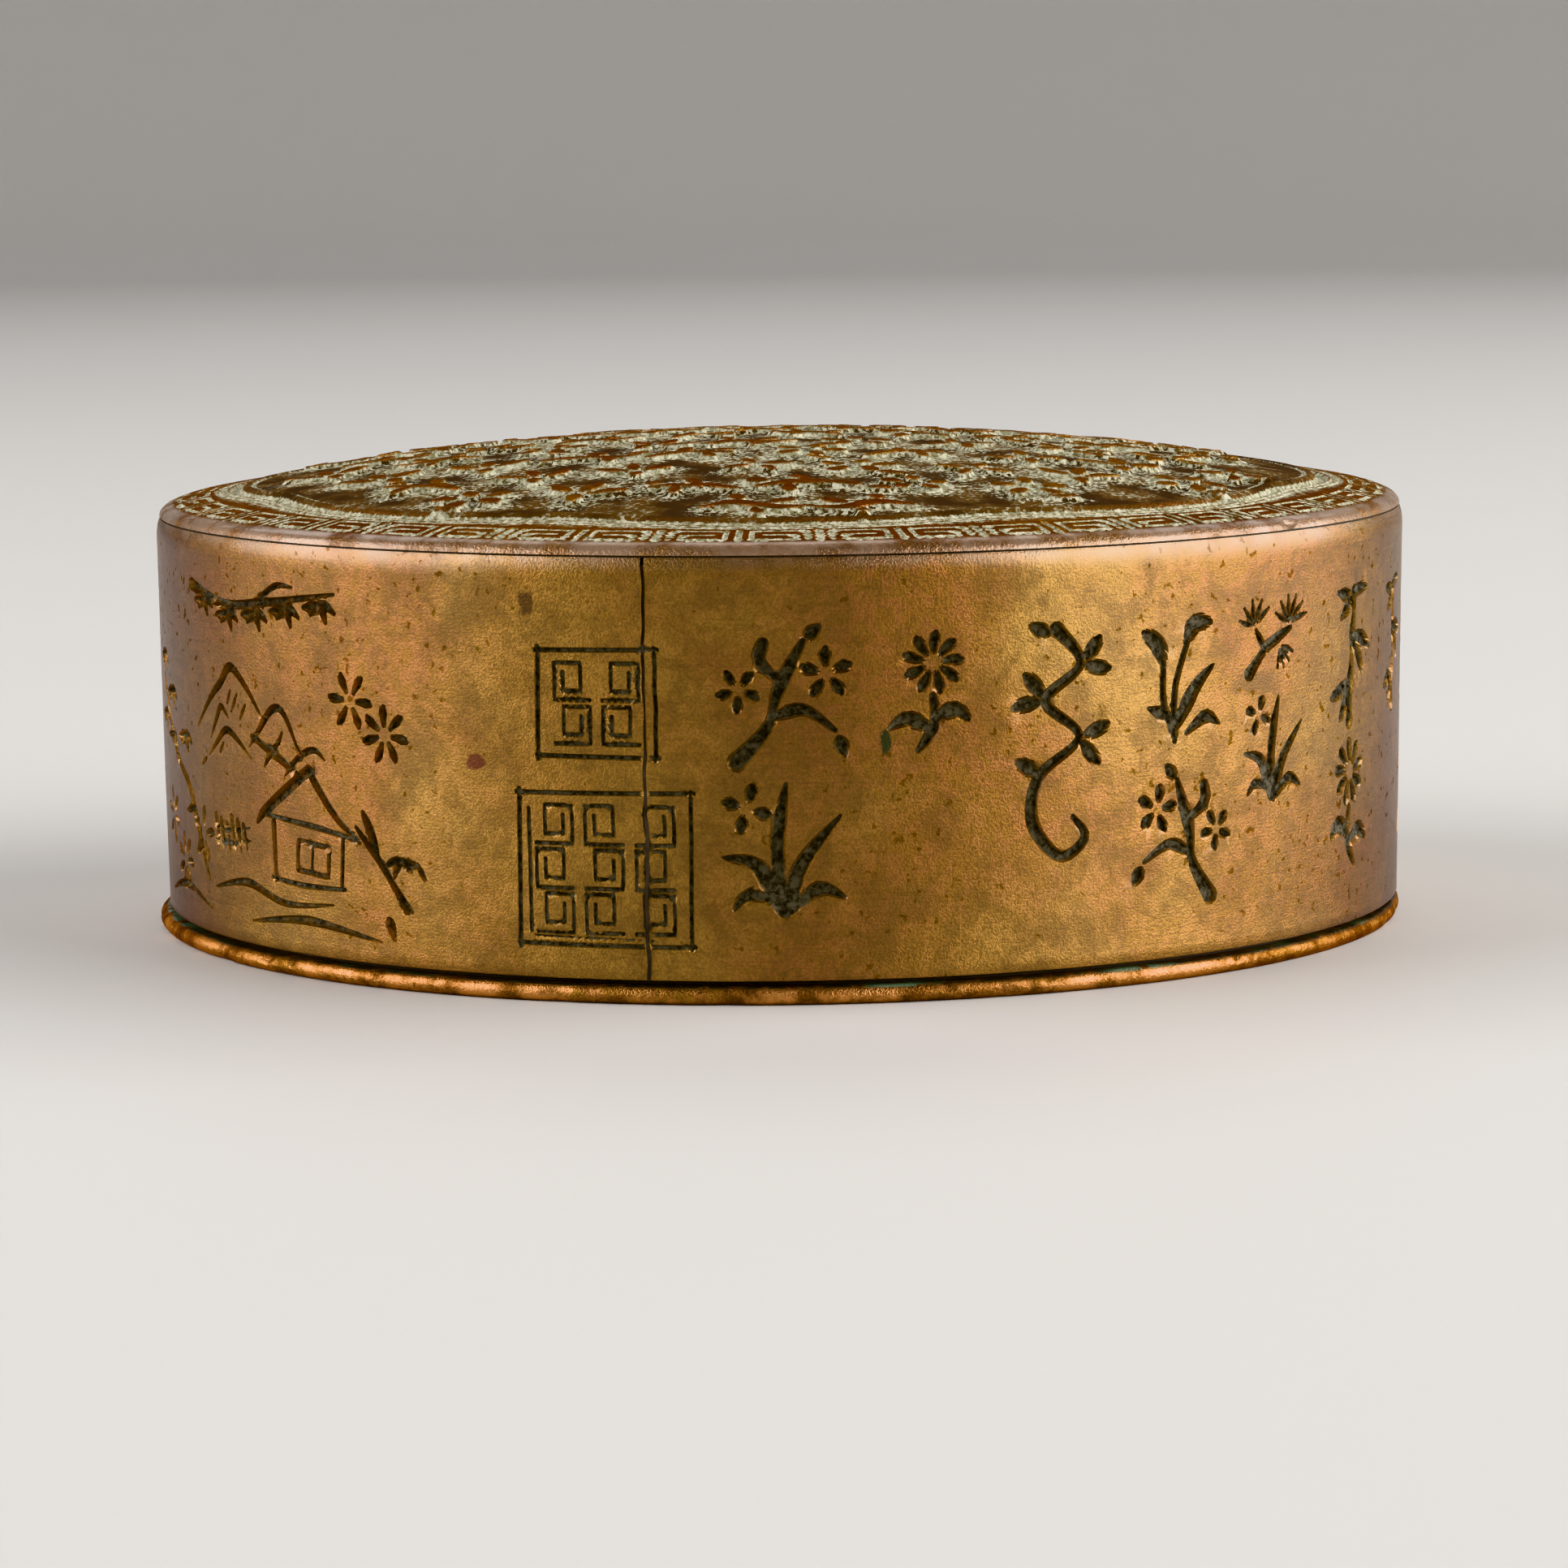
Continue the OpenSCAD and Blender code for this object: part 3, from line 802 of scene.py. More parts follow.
# %% Shape of the top
LOBES = 8
LOBE_DIP = 1.3              # how far the outline draws in between two lobes, in mm
RELIEF = 0.35               # height of the sprigs over the ground
RIM_Z = PLATE_TOP - 3.4 - RELIEF
DOME_R = WALL_R - 0.6
FIELD_Q = 32.1              # where the sprigs' field ends
PLATE_PROFILE = np.array([
    (36.5, 36.5, 0.0),
    (36.85, 36.85, -0.03),
    (37.15, 37.13, -0.07),
    (37.4, 37.35, -0.11),
    (37.6, 37.52, -0.18),
    (37.8, 37.67, -0.28),
    (38.0, 37.8, -0.41),
    (38.2, 37.9, -0.55),
    (38.4, 37.94, -0.7),
])
CHIPS = [                   # polar angle in degrees, width and depth in mm
    (-39, 0.5, 0.4), (-36.6, 0.35, 0.2), (-61, 0.3, 0.1),
    (-148, 0.3, 0.12), (64, 0.5, 0.25), (131, 0.3, 0.2),
]


def dip(angle):
    """How far the lobed outline is drawn in: 0 at a lobe's crown, which faces the front, to about 1."""
    sway = np.sqrt(np.cos(LOBES / 2 * (angle + math.pi / 2)) ** 2 + 0.03)
    return 1 - sway / math.sqrt(1.03)


def lobed(points):
    """The distance that follows the lobes: the radius plus what the outline is drawn in at that angle."""
    radius = np.hypot(*points.T)
    inwards = step_up(radius, 6, 30) * (1 - step_up(radius, 36.0, 36.9))
    return radius + LOBE_DIP * dip(np.arctan2(points[:, 1], points[:, 0])) * inwards


def dome_height(radius):
    """Height of the dome: a paraboloid that rises 3.4 mm from the rim to the middle."""
    return RIM_Z + 3.4 * (1 - (radius / DOME_R) ** 2)


def fret_strokes(units=50):
    """A ring of square spirals, every second one mirrored, with a radial bar before each."""
    width = TURN * 36 / units
    key = [
        (0.68, 36.75), (0.68, 35.0), (3.8, 35.0), (3.8, 36.75),
        (1.35, 36.75), (1.35, 35.85), (3.05, 35.85),
    ]
    found = []
    for unit in range(units):
        left = unit * width
        turns = [(width - u if unit % 2 else u, r) for u, r in key]
        for line, half in (([(0, 36.95), (0, 34.85)], 0.22), (turns, 0.18)):
            path, half, depth = stroke([(u + left, r) for u, r in line], half, 1.0, straight=True, pitch=0.6)
            angle, radius = path[:, 0] / 36, path[:, 1]
            found.append((radius[:, None] * np.stack([np.cos(angle), np.sin(angle)], -1), half, depth))
    return found


def sprig(kind, random):
    """One of five small bunches of leaves, a few millimetres across, in broad strokes."""
    tilt = random.uniform(-20, 20)
    if kind == 0:
        drawn = fan(LEAF, 0, -0.6, 40 + tilt, 150 + tilt, 3, 2.3, 0.42, 0.25)
        drawn += [shaped(DAB, 0.2, -0.9, -80, 1.4, 0.4)]
    elif kind == 1:
        drawn = blossom(0, 0.3, 1.7, 5, 0.4, tilt) + [shaped(LEAF, 0.3, -1.6, -20 + tilt, 1.7, 0.35)]
    elif kind == 2:
        drawn = [
            stroke([(-2, -1.2), (-0.4, 0.1), (1.9, 0.3)], [0.3, 0.45, 0.2]),
            shaped(LEAF, -0.6, 0.4, 75, 1.6, 0.4),
            shaped(LEAF, 0.6, 0.0, -70, 1.7, 0.4),
            shaped(DAB, 1.2, 1.1, 20, 1.1, 0.42),
        ]
    elif kind == 3:
        drawn = [
            stroke([(-2.1, -0.9), (-0.7, -0.1), (1.0, -0.6), (2.3, 0.2)], [0.2, 0.45, 0.34, 0.16]),
            shaped(LEAF, -0.9, 0.4, 110, 1.5, 0.4),
            shaped(LEAF, 0.5, 0.0, 60, 1.8, 0.42),
            shaped(DAB, 0.2, -1.1, -60, 1.0, 0.36),
        ]
    else:
        drawn = fan(LEAF, 0, 0, 20 + tilt, 290 + tilt, 4, 1.9, 0.4, 0.3)
    return drawn


def sprig_field():
    """Sprigs in staggered rows over the field, each turned and sized a little differently."""
    random = np.random.default_rng(11)
    drawn = []
    for row in range(-5, 6):
        for column in range(-6, 6):
            x = (column + 0.5 * (row % 2) + 0.25) * 6.3 + random.uniform(-0.5, 0.5)
            y = row * 5.9 + random.uniform(-0.4, 0.4)
            kind, size = int(random.integers(5)), random.uniform(1.1, 1.35)
            if math.hypot(x, y) < 30.0:
                turn, flip = random.uniform(-25, 25), random.random() < 0.5
                drawn += put(sprig(kind, random), x, y, turn, size, flip, 1.25)
    return drawn


FRET = fret_strokes()
SPRIGS = sprig_field()
print("fret:", len(FRET), "lines; sprigs:", len(SPRIGS), "strokes")

# %% [markdown]
# The relief is a height over the dome: the sprigs stand up with steep banks and flat tops, the groove is a
# hollow with a ridge inside it, and the fret is cut in. The plate is meshed like the wall, on a flat
# plan, with rows beside every stroke and rings that follow the lobes. Its underside is a plain dome.

# %% Chase the top
def relief(points):
    """Height over the dome and the arrays for the finish: how raised, how near a sprig, how cut."""
    q = lobed(points)
    sunk, ink, _ = cut_into(points, FRET, 0.09)
    raised, _, near = cut_into(points, SPRIGS, 0.17, near=1.3)
    field = 1 - step_up(q, FIELD_Q - 0.5, FIELD_Q)
    ground = 0.07 * waves(*points.T, 7, 21) + 0.04 * waves(*points.T, 2.4, 22)
    hollow = step_up(q, 32.8, 33.1) * (1 - step_up(q, 33.45, 33.8))
    ridge = step_up(q, 32.3, 32.5) * (1 - step_up(q, 32.65, 32.85))
    lines = 0
    for at in (32.2, 33.95, 34.4):
        lines = lines + np.clip(1.3 - abs(q - at) / 0.13, 0, 1)
    lines = np.clip(lines, 0, 1)
    height = raised * RELIEF + (ground - 0.03) * field + 0.12 * ridge - 0.3 * hollow
    height = height + 0.05 * near * field * (1 - raised) - 0.14 * np.maximum(lines, sunk)
    return height, raised, near * field, np.maximum.reduce([ink, lines, 0.9 * hollow])


def chipped(angle):
    """How far the edge is knocked in, in mm: a sum of bells exp(-(arc / width)^2) at the chips."""
    total = np.zeros_like(angle)
    for place, width, depth in CHIPS:
        arc = (np.mod(angle - math.radians(place) + math.pi, TURN) - math.pi) * WALL_R
        total += depth * np.exp(-((arc / width) ** 2))
    return total


def make_top(columns=360):
    """The chased top plate as one closed solid: relief above, plain dome below, rounded edge between."""
    rims = PLATE_PROFILE[:, 0]
    angle = np.arange(columns) * TURN / columns
    spoke = np.stack([np.cos(angle), np.sin(angle)], -1)
    rings = rims[:, None, None] * spoke
    q_rows = np.array([31.9, 32.05, 32.2, 32.33, 32.5, 32.65, 32.85, 33.1, 33.28, 33.45, 33.65, 33.8,
                       33.95, 34.08, 34.27, 34.4, 34.53])
    lobe_rows = (q_rows[:, None] - LOBE_DIP * dip(angle))[..., None] * spoke
    net_x, net_y = np.meshgrid(np.arange(-33, 33, 0.6), np.arange(-33, 33, 0.52))
    net = np.stack([net_x + 0.3 * (np.arange(len(net_x)) % 2)[:, None], net_y], -1).reshape(-1, 2)
    net = net[lobed(net) < 31.7]
    close = cut_into(net, SPRIGS, near=0.3)[2]
    points, faces = sheet_triangles(np.concatenate([
        rings.reshape(-1, 2)[::-1], lobe_rows.reshape(-1, 2), net[close <= 0], rows_along(SPRIGS),
        rows_along(FRET, 0.09),
    ]))
    height, raised, near, cut = relief(points)
    plan_r = np.hypot(*points.T)
    heading = points / np.maximum(plan_r, 1e-6)[:, None]
    radius = np.where(plan_r < rims[0], plan_r, np.interp(plan_r, rims, PLATE_PROFILE[:, 1]))
    drop = np.interp(plan_r, rims, PLATE_PROFILE[:, 2], left=0)
    z = np.where(plan_r < DOME_R, dome_height(plan_r), RIM_Z) + drop + height
    chip = chipped(np.arctan2(points[:, 1], points[:, 0])) * np.exp(-(((plan_r - 38.0) / 0.45) ** 2))
    radius, z = radius - 0.7 * chip, z - 0.6 * chip * np.clip((z - PLATE_LOW) / 0.7, 0, 1)
    places = np.column_stack([heading * radius[:, None], z])

    _, land_r, _, under_top = ring_of("slate_cement")
    edge = np.flatnonzero(abs(plan_r - rims[-1]) < 1e-4)
    edge = edge[np.argsort(np.arctan2(points[edge, 1], points[edge, 0]) % TURN)]
    below = [(land_r, PLATE_LOW)]
    hollow = under_top - PLATE_LOW
    below += [(r, PLATE_LOW + hollow * (1 - (r / land_r) ** 2)) for r in np.arange(34, 1, -3)]
    count = len(places)
    rings = [edge] + [count + k * columns + np.arange(columns) for k in range(len(below))]
    middle = count + len(below) * columns
    for outer, inner in zip(rings, rings[1:]):
        faces += np.stack([outer, inner, np.roll(inner, -1), np.roll(outer, -1)], -1).tolist()
    faces += [(a, middle, b) for a, b in zip(rings[-1].tolist(), np.roll(rings[-1], -1).tolist())]
    under = [np.column_stack([r * spoke, np.full(columns, z)]) for r, z in below]
    places = np.concatenate([places] + under + [[(0, 0, under_top)]])
    extra = len(places) - count
    plain = [np.concatenate([values, np.zeros(extra)]) for values in (raised, near, cut)]
    return make_piece(
        "chased_top", places, faces, "lid", ["lid_top_plate"], "relief_copper",
        raised=plain[0], near=plain[1], cut=plain[2],
    )


make_top()

# %% [markdown]
# The solder under the plate shows as a thin dark line, a little inside the two rounded edges, and as a
# fillet in the corner inside.

# %% Run the solder
def lathe(name, profile, body, node, slot, rows=360):
    """A turned piece: a profile of (radius, height) carried round the axis."""
    radius, height = np.array(profile, float).T
    radius = np.broadcast_to(radius, (rows, len(radius)))
    places, faces = turned(radius, np.broadcast_to(height, radius.shape))
    return make_piece(name, places, faces, body, [node], slot)


FILLET = 0.8            # how far the solder creeps down the wall and in under the plate, in mm
SUNK = 0.2              # how far it stays back from the wall's face, in mm
lathe("joint_solder", [
    (WALL_IN - FILLET, PLATE_LOW), (WALL_IN - 0.35, PLATE_LOW - 0.18), (WALL_IN - 0.18, PLATE_LOW - 0.35),
    (WALL_IN, PLATE_LOW - FILLET), (WALL_IN, WALL_TOP), (WALL_R - SUNK, WALL_TOP), (WALL_R - SUNK, PLATE_LOW),
], "lid", "lid_joint_solder", "solder")

# %% [markdown]
# ## The foot
#
# The base plate stands 0.2 mm proud of the wall as a thin rounded flange. Its edge takes every knock, so
# it is the most worn place on the box: small dents, and a line that isn't quite even. It is turned round
# the axis, and each dent is a shallow dip with a bell-shaped fall.

# %% Turn the foot
def dents(angle, count, seed, depth, width):
    """Dents round a circle, in mm: a sum of bells exp(-(arc / width)^2) at seeded angles."""
    random = np.random.default_rng(seed)
    total = np.zeros_like(angle)
    for place in random.uniform(0, TURN, count):
        arc = (np.mod(angle - place + math.pi, TURN) - math.pi) * FOOT_R
        total += random.uniform(0.25, 1) * depth * np.exp(-((arc / random.uniform(0.4, 1) / width) ** 2))
    return total


def make_foot(rows=900):
    """A turned plate: flat under, half round at its edge, flat on top, with the edge dented."""
    half = (FOOT_TOP - FOOT_LOW) / 2
    round_at = np.radians([-90, -75, -60, -45, -30, -15, 0, 15, 30, 45, 60, 75, 90])
    edge_r = FOOT_R - half + half * np.cos(round_at)
    edge_z = FOOT_LOW + half + half * np.sin(round_at)
    profile = [(0, 0.06), (12, 0.06), (30, 0.05), (35.6, 0.04), (36.2, 0.0)]
    profile += list(zip(edge_r, edge_z)) + [(37.2, FOOT_TOP), (36.6, FOOT_TOP), (20, FOOT_TOP), (0, FOOT_TOP)]
    radius, height = np.array(profile).T
    angle = (np.arange(rows) * TURN / rows)[:, None]
    rim = step_up(radius, 37.3, FOOT_R)
    upper = rim * step_up(height, 0.3, 0.9)
    edge_x, edge_y = np.cos(angle) * 38, np.sin(angle) * 38
    knocked = dents(angle, 26, 3, 0.16, 0.9) + 0.03 + 0.03 * waves(edge_x, edge_y, 9, 4)
    nicked = dents(angle, 34, 8, 0.22, 0.5)
    out = radius - rim * np.maximum(knocked, 0) - upper * 0.5 * nicked - 0.24 * rim * np.cos(angle)
    up = height - upper * nicked + 0.02 * rim * waves(edge_x, edge_y, 14, 6)
    up = np.where(height < 0.01, 0, np.maximum(up, 0.0))
    return turned(out, up)


make_piece("dented_foot", *make_foot(), "base", ["base_plate"], "foot_copper")

# %% [markdown]
# ## Slate, bezel and pan
#
# These are turned pieces too. The slate is ground flat, with a shallow hollow that wet ink has worn. The
# bezel's thin lip was burnished in by hand. The pan is spun from thin copper, with
# a rolled lip.

# %% Turn the inner pieces
slate_hollow = [(r, SLATE_LOW + 0.12 * (1 - (r / 30) ** 2) ** 2) for r in range(0, 30, 3)]
slate_profile = slate_hollow + [
    (30, SLATE_LOW), (34, SLATE_LOW), (SLATE_R - 0.45, SLATE_LOW), (SLATE_R - 0.2, SLATE_LOW + 0.1),
    (SLATE_R, SLATE_LOW + 0.4), (SLATE_R, SLATE_TOP), (20, SLATE_TOP), (0, SLATE_TOP),
]
lathe("ground_slate", slate_profile, "lid", "ink_slate", "slate")

LIP_TOP_OF_BEZEL = BEZEL_LOW + 0.4
bezel_profile = [
    (BEZEL_IN, BEZEL_LOW + 0.3), (BEZEL_IN + 0.05, BEZEL_LOW + 0.14), (BEZEL_IN + 0.2, BEZEL_LOW + 0.03),
    (BEZEL_IN + 0.5, BEZEL_LOW), (BEZEL_R - 0.3, BEZEL_LOW), (BEZEL_R - 0.1, BEZEL_LOW + 0.05),
    (BEZEL_R, BEZEL_LOW + 0.2), (BEZEL_R, BEZEL_TOP - 0.1), (BEZEL_R - 0.1, BEZEL_TOP),
    (BEZEL_IN + 0.75, BEZEL_TOP), (BEZEL_IN + 0.7, BEZEL_TOP - 0.1), (BEZEL_IN + 0.7, LIP_TOP_OF_BEZEL),
    (BEZEL_IN + 0.1, LIP_TOP_OF_BEZEL), (BEZEL_IN, LIP_TOP_OF_BEZEL - 0.04),
]
lathe("burnished_bezel", bezel_profile, "lid", "slate_bezel", "plain_copper")

PAN_WALL = 0.5
PAN_R = COLLAR_IN - 0.1
PAN_CORNER = 2.5
LIP_LOW = LIP_TOP - PAN_WALL


def pan_corner(bend):
    """The pan's bottom corner, rounded with a radius of bend, from the floor to the side."""
    turn = np.radians(np.arange(-90, 1, 10))
    across = PAN_R - PAN_CORNER + bend * np.cos(turn)
    return list(zip(across, PAN_LOW + PAN_CORNER + bend * np.sin(turn)))


pan_profile = [
    (0, PAN_LOW), (15, PAN_LOW), *pan_corner(PAN_CORNER),
    (PAN_R, 12), (PAN_R, LIP_LOW - 0.15), (PAN_R + 0.15, LIP_LOW), (LIP_R - 0.15, LIP_LOW),
    (LIP_R, LIP_LOW + 0.12), (LIP_R, LIP_TOP - 0.15), (LIP_R - 0.12, LIP_TOP), (PAN_R + 0.1, LIP_TOP),
    (PAN_R - 0.35, LIP_TOP - 0.08), (PAN_R - PAN_WALL, LIP_TOP - 0.35), (PAN_R - PAN_WALL, 12),
    *pan_corner(PAN_CORNER - PAN_WALL)[::-1], (15, PAN_LOW + PAN_WALL), (0, PAN_LOW + PAN_WALL),
]
lathe("spun_pan", pan_profile, "base", "ink_pan", "pan_copper")

# %% [markdown]
# ## The silk pad
#
# A wad of silk floss lies in the pan, wrapped in silk cloth and soaked with ink. Wet cloth over a soft
# wad wrinkles. Blender's cloth solver makes such wrinkles: a closed bag, a little smaller than the pad, is
# blown up by a light pressure. The pan isn't part of the simulation, and a free bag would outgrow it. So
# each point is held within a millimetre or two of its start, and inside the pan. The bag is simulated at
# ten times its size, because the solver is tuned for pieces as big as a cushion.

# %% Blow up the pad
BIG = 10.0                      # the scale of the simulation
PAD_HEIGHT = PAD_TOP - PAD_LOW


def pad_surface(rows=96):
    """A pillow: radius and height of a crowned disc whose profile is a superellipse, as places and faces."""
    share = np.linspace(-1, 1, 30) * math.pi / 2
    radius = np.abs(np.cos(share)) ** 0.35 * (PAD_R - 1.0)
    radius[[0, -1]] = 0
    rise = np.sign(np.sin(share)) * np.abs(np.sin(share)) ** 0.75
    crown = 0.7 * (1 - (radius / PAD_R) ** 2) * (rise > 0)
    height = PAD_LOW + 0.45 * PAD_HEIGHT + rise * 0.4 * PAD_HEIGHT + crown
    angle = (np.arange(rows) * TURN / rows)[:, None]
    bumps = 0.4 * waves(np.cos(angle) * radius, np.sin(angle) * radius, 11, 31)
    return turned(np.broadcast_to(radius, (rows, len(radius))), height + bumps * (radius > 0))


def simulate_pad(pad, frames=20, reach=1.4):
    """Remeshes the pad, inflates it as cloth, and keeps each point within reach mm of its start."""
    mesh = pad.data
    flat = np.empty(len(mesh.vertices) * 3, np.float32)
    mesh.vertices.foreach_get("co", flat)
    mesh.vertices.foreach_set("co", flat * BIG)
    bpy.context.view_layer.objects.active = pad
    remesh = pad.modifiers.new("even", "REMESH")
    remesh.mode = "VOXEL"
    remesh.voxel_size = 0.0055
    bpy.ops.object.modifier_apply(modifier=remesh.name)
    start = np.empty(len(mesh.vertices) * 3, np.float32)
    mesh.vertices.foreach_get("co", start)
    cloth = pad.modifiers.new("silk", "CLOTH")
    cloth.settings.quality = 6
    cloth.settings.mass = 0.2
    cloth.settings.tension_stiffness = 12
    cloth.settings.compression_stiffness = 12
    cloth.settings.bending_stiffness = 0.2
    cloth.settings.use_pressure = True
    cloth.settings.uniform_pressure_force = 4
    cloth.settings.shrink_min = -0.14
    cloth.settings.effector_weights.gravity = 0
    cloth.point_cache.frame_start = 1
    cloth.point_cache.frame_end = frames
    for number in range(1, frames + 1):
        bpy.context.scene.frame_set(number)
    shaped_mesh = pad.evaluated_get(bpy.context.evaluated_depsgraph_get()).data
    moved = np.empty(len(shaped_mesh.vertices) * 3, np.float32)
    shaped_mesh.vertices.foreach_get("co", moved)
    pad.modifiers.remove(cloth)
    bpy.context.scene.frame_set(1)
    off = (moved - start).reshape(-1, 3) / (BIG * MM)
    far = np.linalg.norm(off, axis=1, keepdims=True)
    off *= np.minimum(1, reach / np.maximum(far, 1e-6))
    places = start.reshape(-1, 3) / (BIG * MM) + off
    spread = np.hypot(places[:, 0], places[:, 1])
    shrink = np.minimum(1, (PAD_R - 0.02) / np.maximum(spread, 1e-6))
    places[:, :2] *= shrink[:, None]
    places[:, 2] = np.clip(places[:, 2], PAD_LOW + 0.02, PAD_TOP + 0.6)
    mesh.vertices.foreach_set("co", (places * MM).astype(np.float32).ravel())
    mesh.update()
    print("the pad moved up to", round(float(far.max()), 1), "mm; kept within", reach)


pad = make_piece("inked_silk_pad", *pad_surface(), "base", ["silk_pad"], "inked_silk", sharp=180)
simulate_pad(pad)
pad.data.shade_smooth()
smoother = pad.modifiers.new("smoother", "SUBSURF")
smoother.levels = smoother.render_levels = 1

# %% [markdown]
# ## Finishes
#
# Old copper is never one colour. Handling keeps the high places bright, air browns the face in clouds, and
# damp leaves dark specks. What was cut holds black ink and dirt. On the top a pale dust of old polish and
# mineral sits wherever a cloth doesn't reach: in the fret, in the groove and round each sprig.
#
# Each finish is a small net of nodes. `Finish` adds a node and links it in one line, which keeps the nets
# readable. All patterns use object coordinates, in metres, so a scale of 100 makes spots of about a
# centimetre. Arrays made with the mesh, such as how deep a cut is, come in as attributes.

# %% A helper for finishes
class Finish:
    """A node material in the making, with one short method for each kind of node that is used."""

    def __init__(self, name, metallic, roughness):
        self.material = bpy.data.materials.new(name)
        self.material.use_nodes = True
        self.tree = self.material.node_tree
        self.shader = self.tree.nodes["Principled BSDF"]
        self.feed(self.shader, {"Metallic": metallic, "Roughness": roughness})
        self.place = self.add("ShaderNodeTexCoord").outputs["Object"]

    def feed(self, node, inputs):
        for key, value in inputs.items():
            if isinstance(value, bpy.types.NodeSocket):
                self.tree.links.new(value, node.inputs[key])
            else:
                node.inputs[key].default_value = value

    def add(self, kind, inputs=(), **settings):
        node = self.tree.nodes.new(kind)
        for key, value in settings.items():
            setattr(node, key, value)
        self.feed(node, dict(inputs))
        return node

    def attribute(self, name, field="Fac"):
        return self.add("ShaderNodeAttribute", attribute_name=name).outputs[field]

    def stretched(self, vector, x, y, z):
        """A vector scaled on each axis, which stretches the pattern that reads it."""
        return self.add("ShaderNodeMapping", {"Vector": vector, "Scale": (x, y, z)}).outputs["Vector"]

    def upright(self):
        """Height above the desk, in metres."""
        return self.add("ShaderNodeSeparateXYZ", {"Vector": self.place}).outputs["Z"]

    def from_axis(self):
        """Distance from the axis of the box, in metres."""
        flat = self.stretched(self.place, 1, 1, 0)
        return self.add("ShaderNodeVectorMath", {0: flat}, operation="LENGTH").outputs["Value"]

    def noise(self, scale, detail=3.0, roughness=0.55, vector=None, distortion=0.0):
        inputs = {"Vector": vector or self.place, "Scale": scale, "Detail": detail, "Roughness": roughness,
                  "Distortion": distortion}
        return self.add("ShaderNodeTexNoise", inputs).outputs["Fac"]

    def between(self, value, low, high, to_low=0.0, to_high=1.0):
        """The value remapped smoothly, so that low gives to_low and high gives to_high, and no further."""
        inputs = {"Value": value, "From Min": low, "From Max": high, "To Min": to_low, "To Max": to_high}
        return self.add("ShaderNodeMapRange", inputs, interpolation_type="SMOOTHSTEP").outputs["Result"]

    def sum(self, first, second, operation="ADD"):
        return self.add("ShaderNodeMath", {0: first, 1: second}, operation=operation).outputs[0]

    def mix(self, share, first, second):
        """The first colour where the share is 0, and the second where it is 1."""
        inputs = {"Factor": share, 6: first, 7: second}
        return self.add("ShaderNodeMix", inputs, data_type="RGBA").outputs[2]

    def bump(self, height, strength, distance):
        inputs = {"Height": height, "Strength": strength, "Distance": distance}
        return self.add("ShaderNodeBump", inputs).outputs["Normal"]

    def spot(self, name, centre, size):
        """1 in a soft round spot of the flat plan, with its centre and size in mm, and 0 outside."""
        shifted = self.add("ShaderNodeMapping", {
            "Vector": self.attribute(name, "Vector"),
            "Location": tuple(-c / s for c, s in zip((*centre, 0), (*size, 1))),
            "Scale": tuple(10 / s for s in (*size, 1)),     # the plan is kept in centimetres
        }).outputs["Vector"]
        away = self.add("ShaderNodeVectorMath", {0: shifted}, operation="LENGTH").outputs["Value"]
        ragged = self.sum(away, self.between(self.noise(900, 3), 0.3, 0.7, -0.35, 0.35))
        return self.between(ragged, 1.15, 0.7)

    def surface(self, colour, rough, normal, others=()):
        """Feeds the shader and returns the finished material."""
        self.feed(self.shader, {"Base Color": colour, "Roughness": rough, "Normal": normal, **dict(others)})
        return self.material


def rgb(red, green, blue):
    """A linear colour from the usual 0 to 255 display values."""
    shares = np.array([red, green, blue]) / 255
    linear = np.where(shares <= 0.04045, shares / 12.92, ((shares + 0.055) / 1.055) ** 2.4)
    return (*linear.tolist(), 1)


print("a finish starts with the principled shader and object coordinates")

# %% [markdown]
# ### The engraved wall
#
# Broad clouds run between golden brown and red brown, with a mottle of a few millimetres over them, and
# more dark specks in some patches. Fine scratches run round the wall. The cuts are
# filled with dull green-black dirt, thinner near their ends, and a few single stains sit at their places.
# A waxy film of handling lies over the metal, but not over the dirt, and the rim is rubbed paler; its pale
# colour is partly a painted highlight.

# %% Wall finish
def tarnished_copper(name, light, warm, dark, mottle=0.5, speck=0.6, roughness=0.4):
    """Copper with clouds between two colours, a darker mottle, flakes, specks and a fine grain.

    Returns the finish with its colour, roughness and height so far, for the details that come on top.
    """
    made = Finish(name, 1.0, roughness)
    clouds = made.between(made.noise(62, 3, 0.5, distortion=0.4), 0.38, 0.62)
    patches = made.between(made.noise(300, 6, 0.7, distortion=0.3), 0.38, 0.66)
    flakes = made.between(made.noise(950, 3, 0.5, distortion=0.8), 0.49, 0.54)
    grains = made.between(made.noise(7500, 2, 0.7), 0.36, 0.66)
    colour = made.mix(clouds, light, warm)
    bright = made.mix(clouds, rgb(196, 150, 74), rgb(176, 112, 74))
    colour = made.mix(made.between(flakes, 0, 1, 0, 0.34), colour, bright)
    colour = made.mix(made.between(patches, 0, 1, 0, mottle), colour, dark)
    colour = made.mix(made.between(grains, 0, 1, 0.45, 0), colour, dark)
    busy = made.between(made.noise(48, 2), 0.44, 0.6, 0.0, 0.07)
    specks = made.between(made.sum(made.noise(1700, 2, 0.5), busy), 0.69, 0.78, 0, speck)
    colour = made.mix(specks, colour, rgb(52, 34, 14))
    rough = made.between(patches, 0, 1, roughness - 0.05, roughness + 0.1)
    rough = made.sum(rough, made.between(specks, 0, 1, 0, 0.2))
    height = made.sum(made.between(grains, 0, 1, -0.5, 0.5), made.between(specks, 0, 1, 0, -0.8))
    made.specks = specks
    return made, colour, rough, height


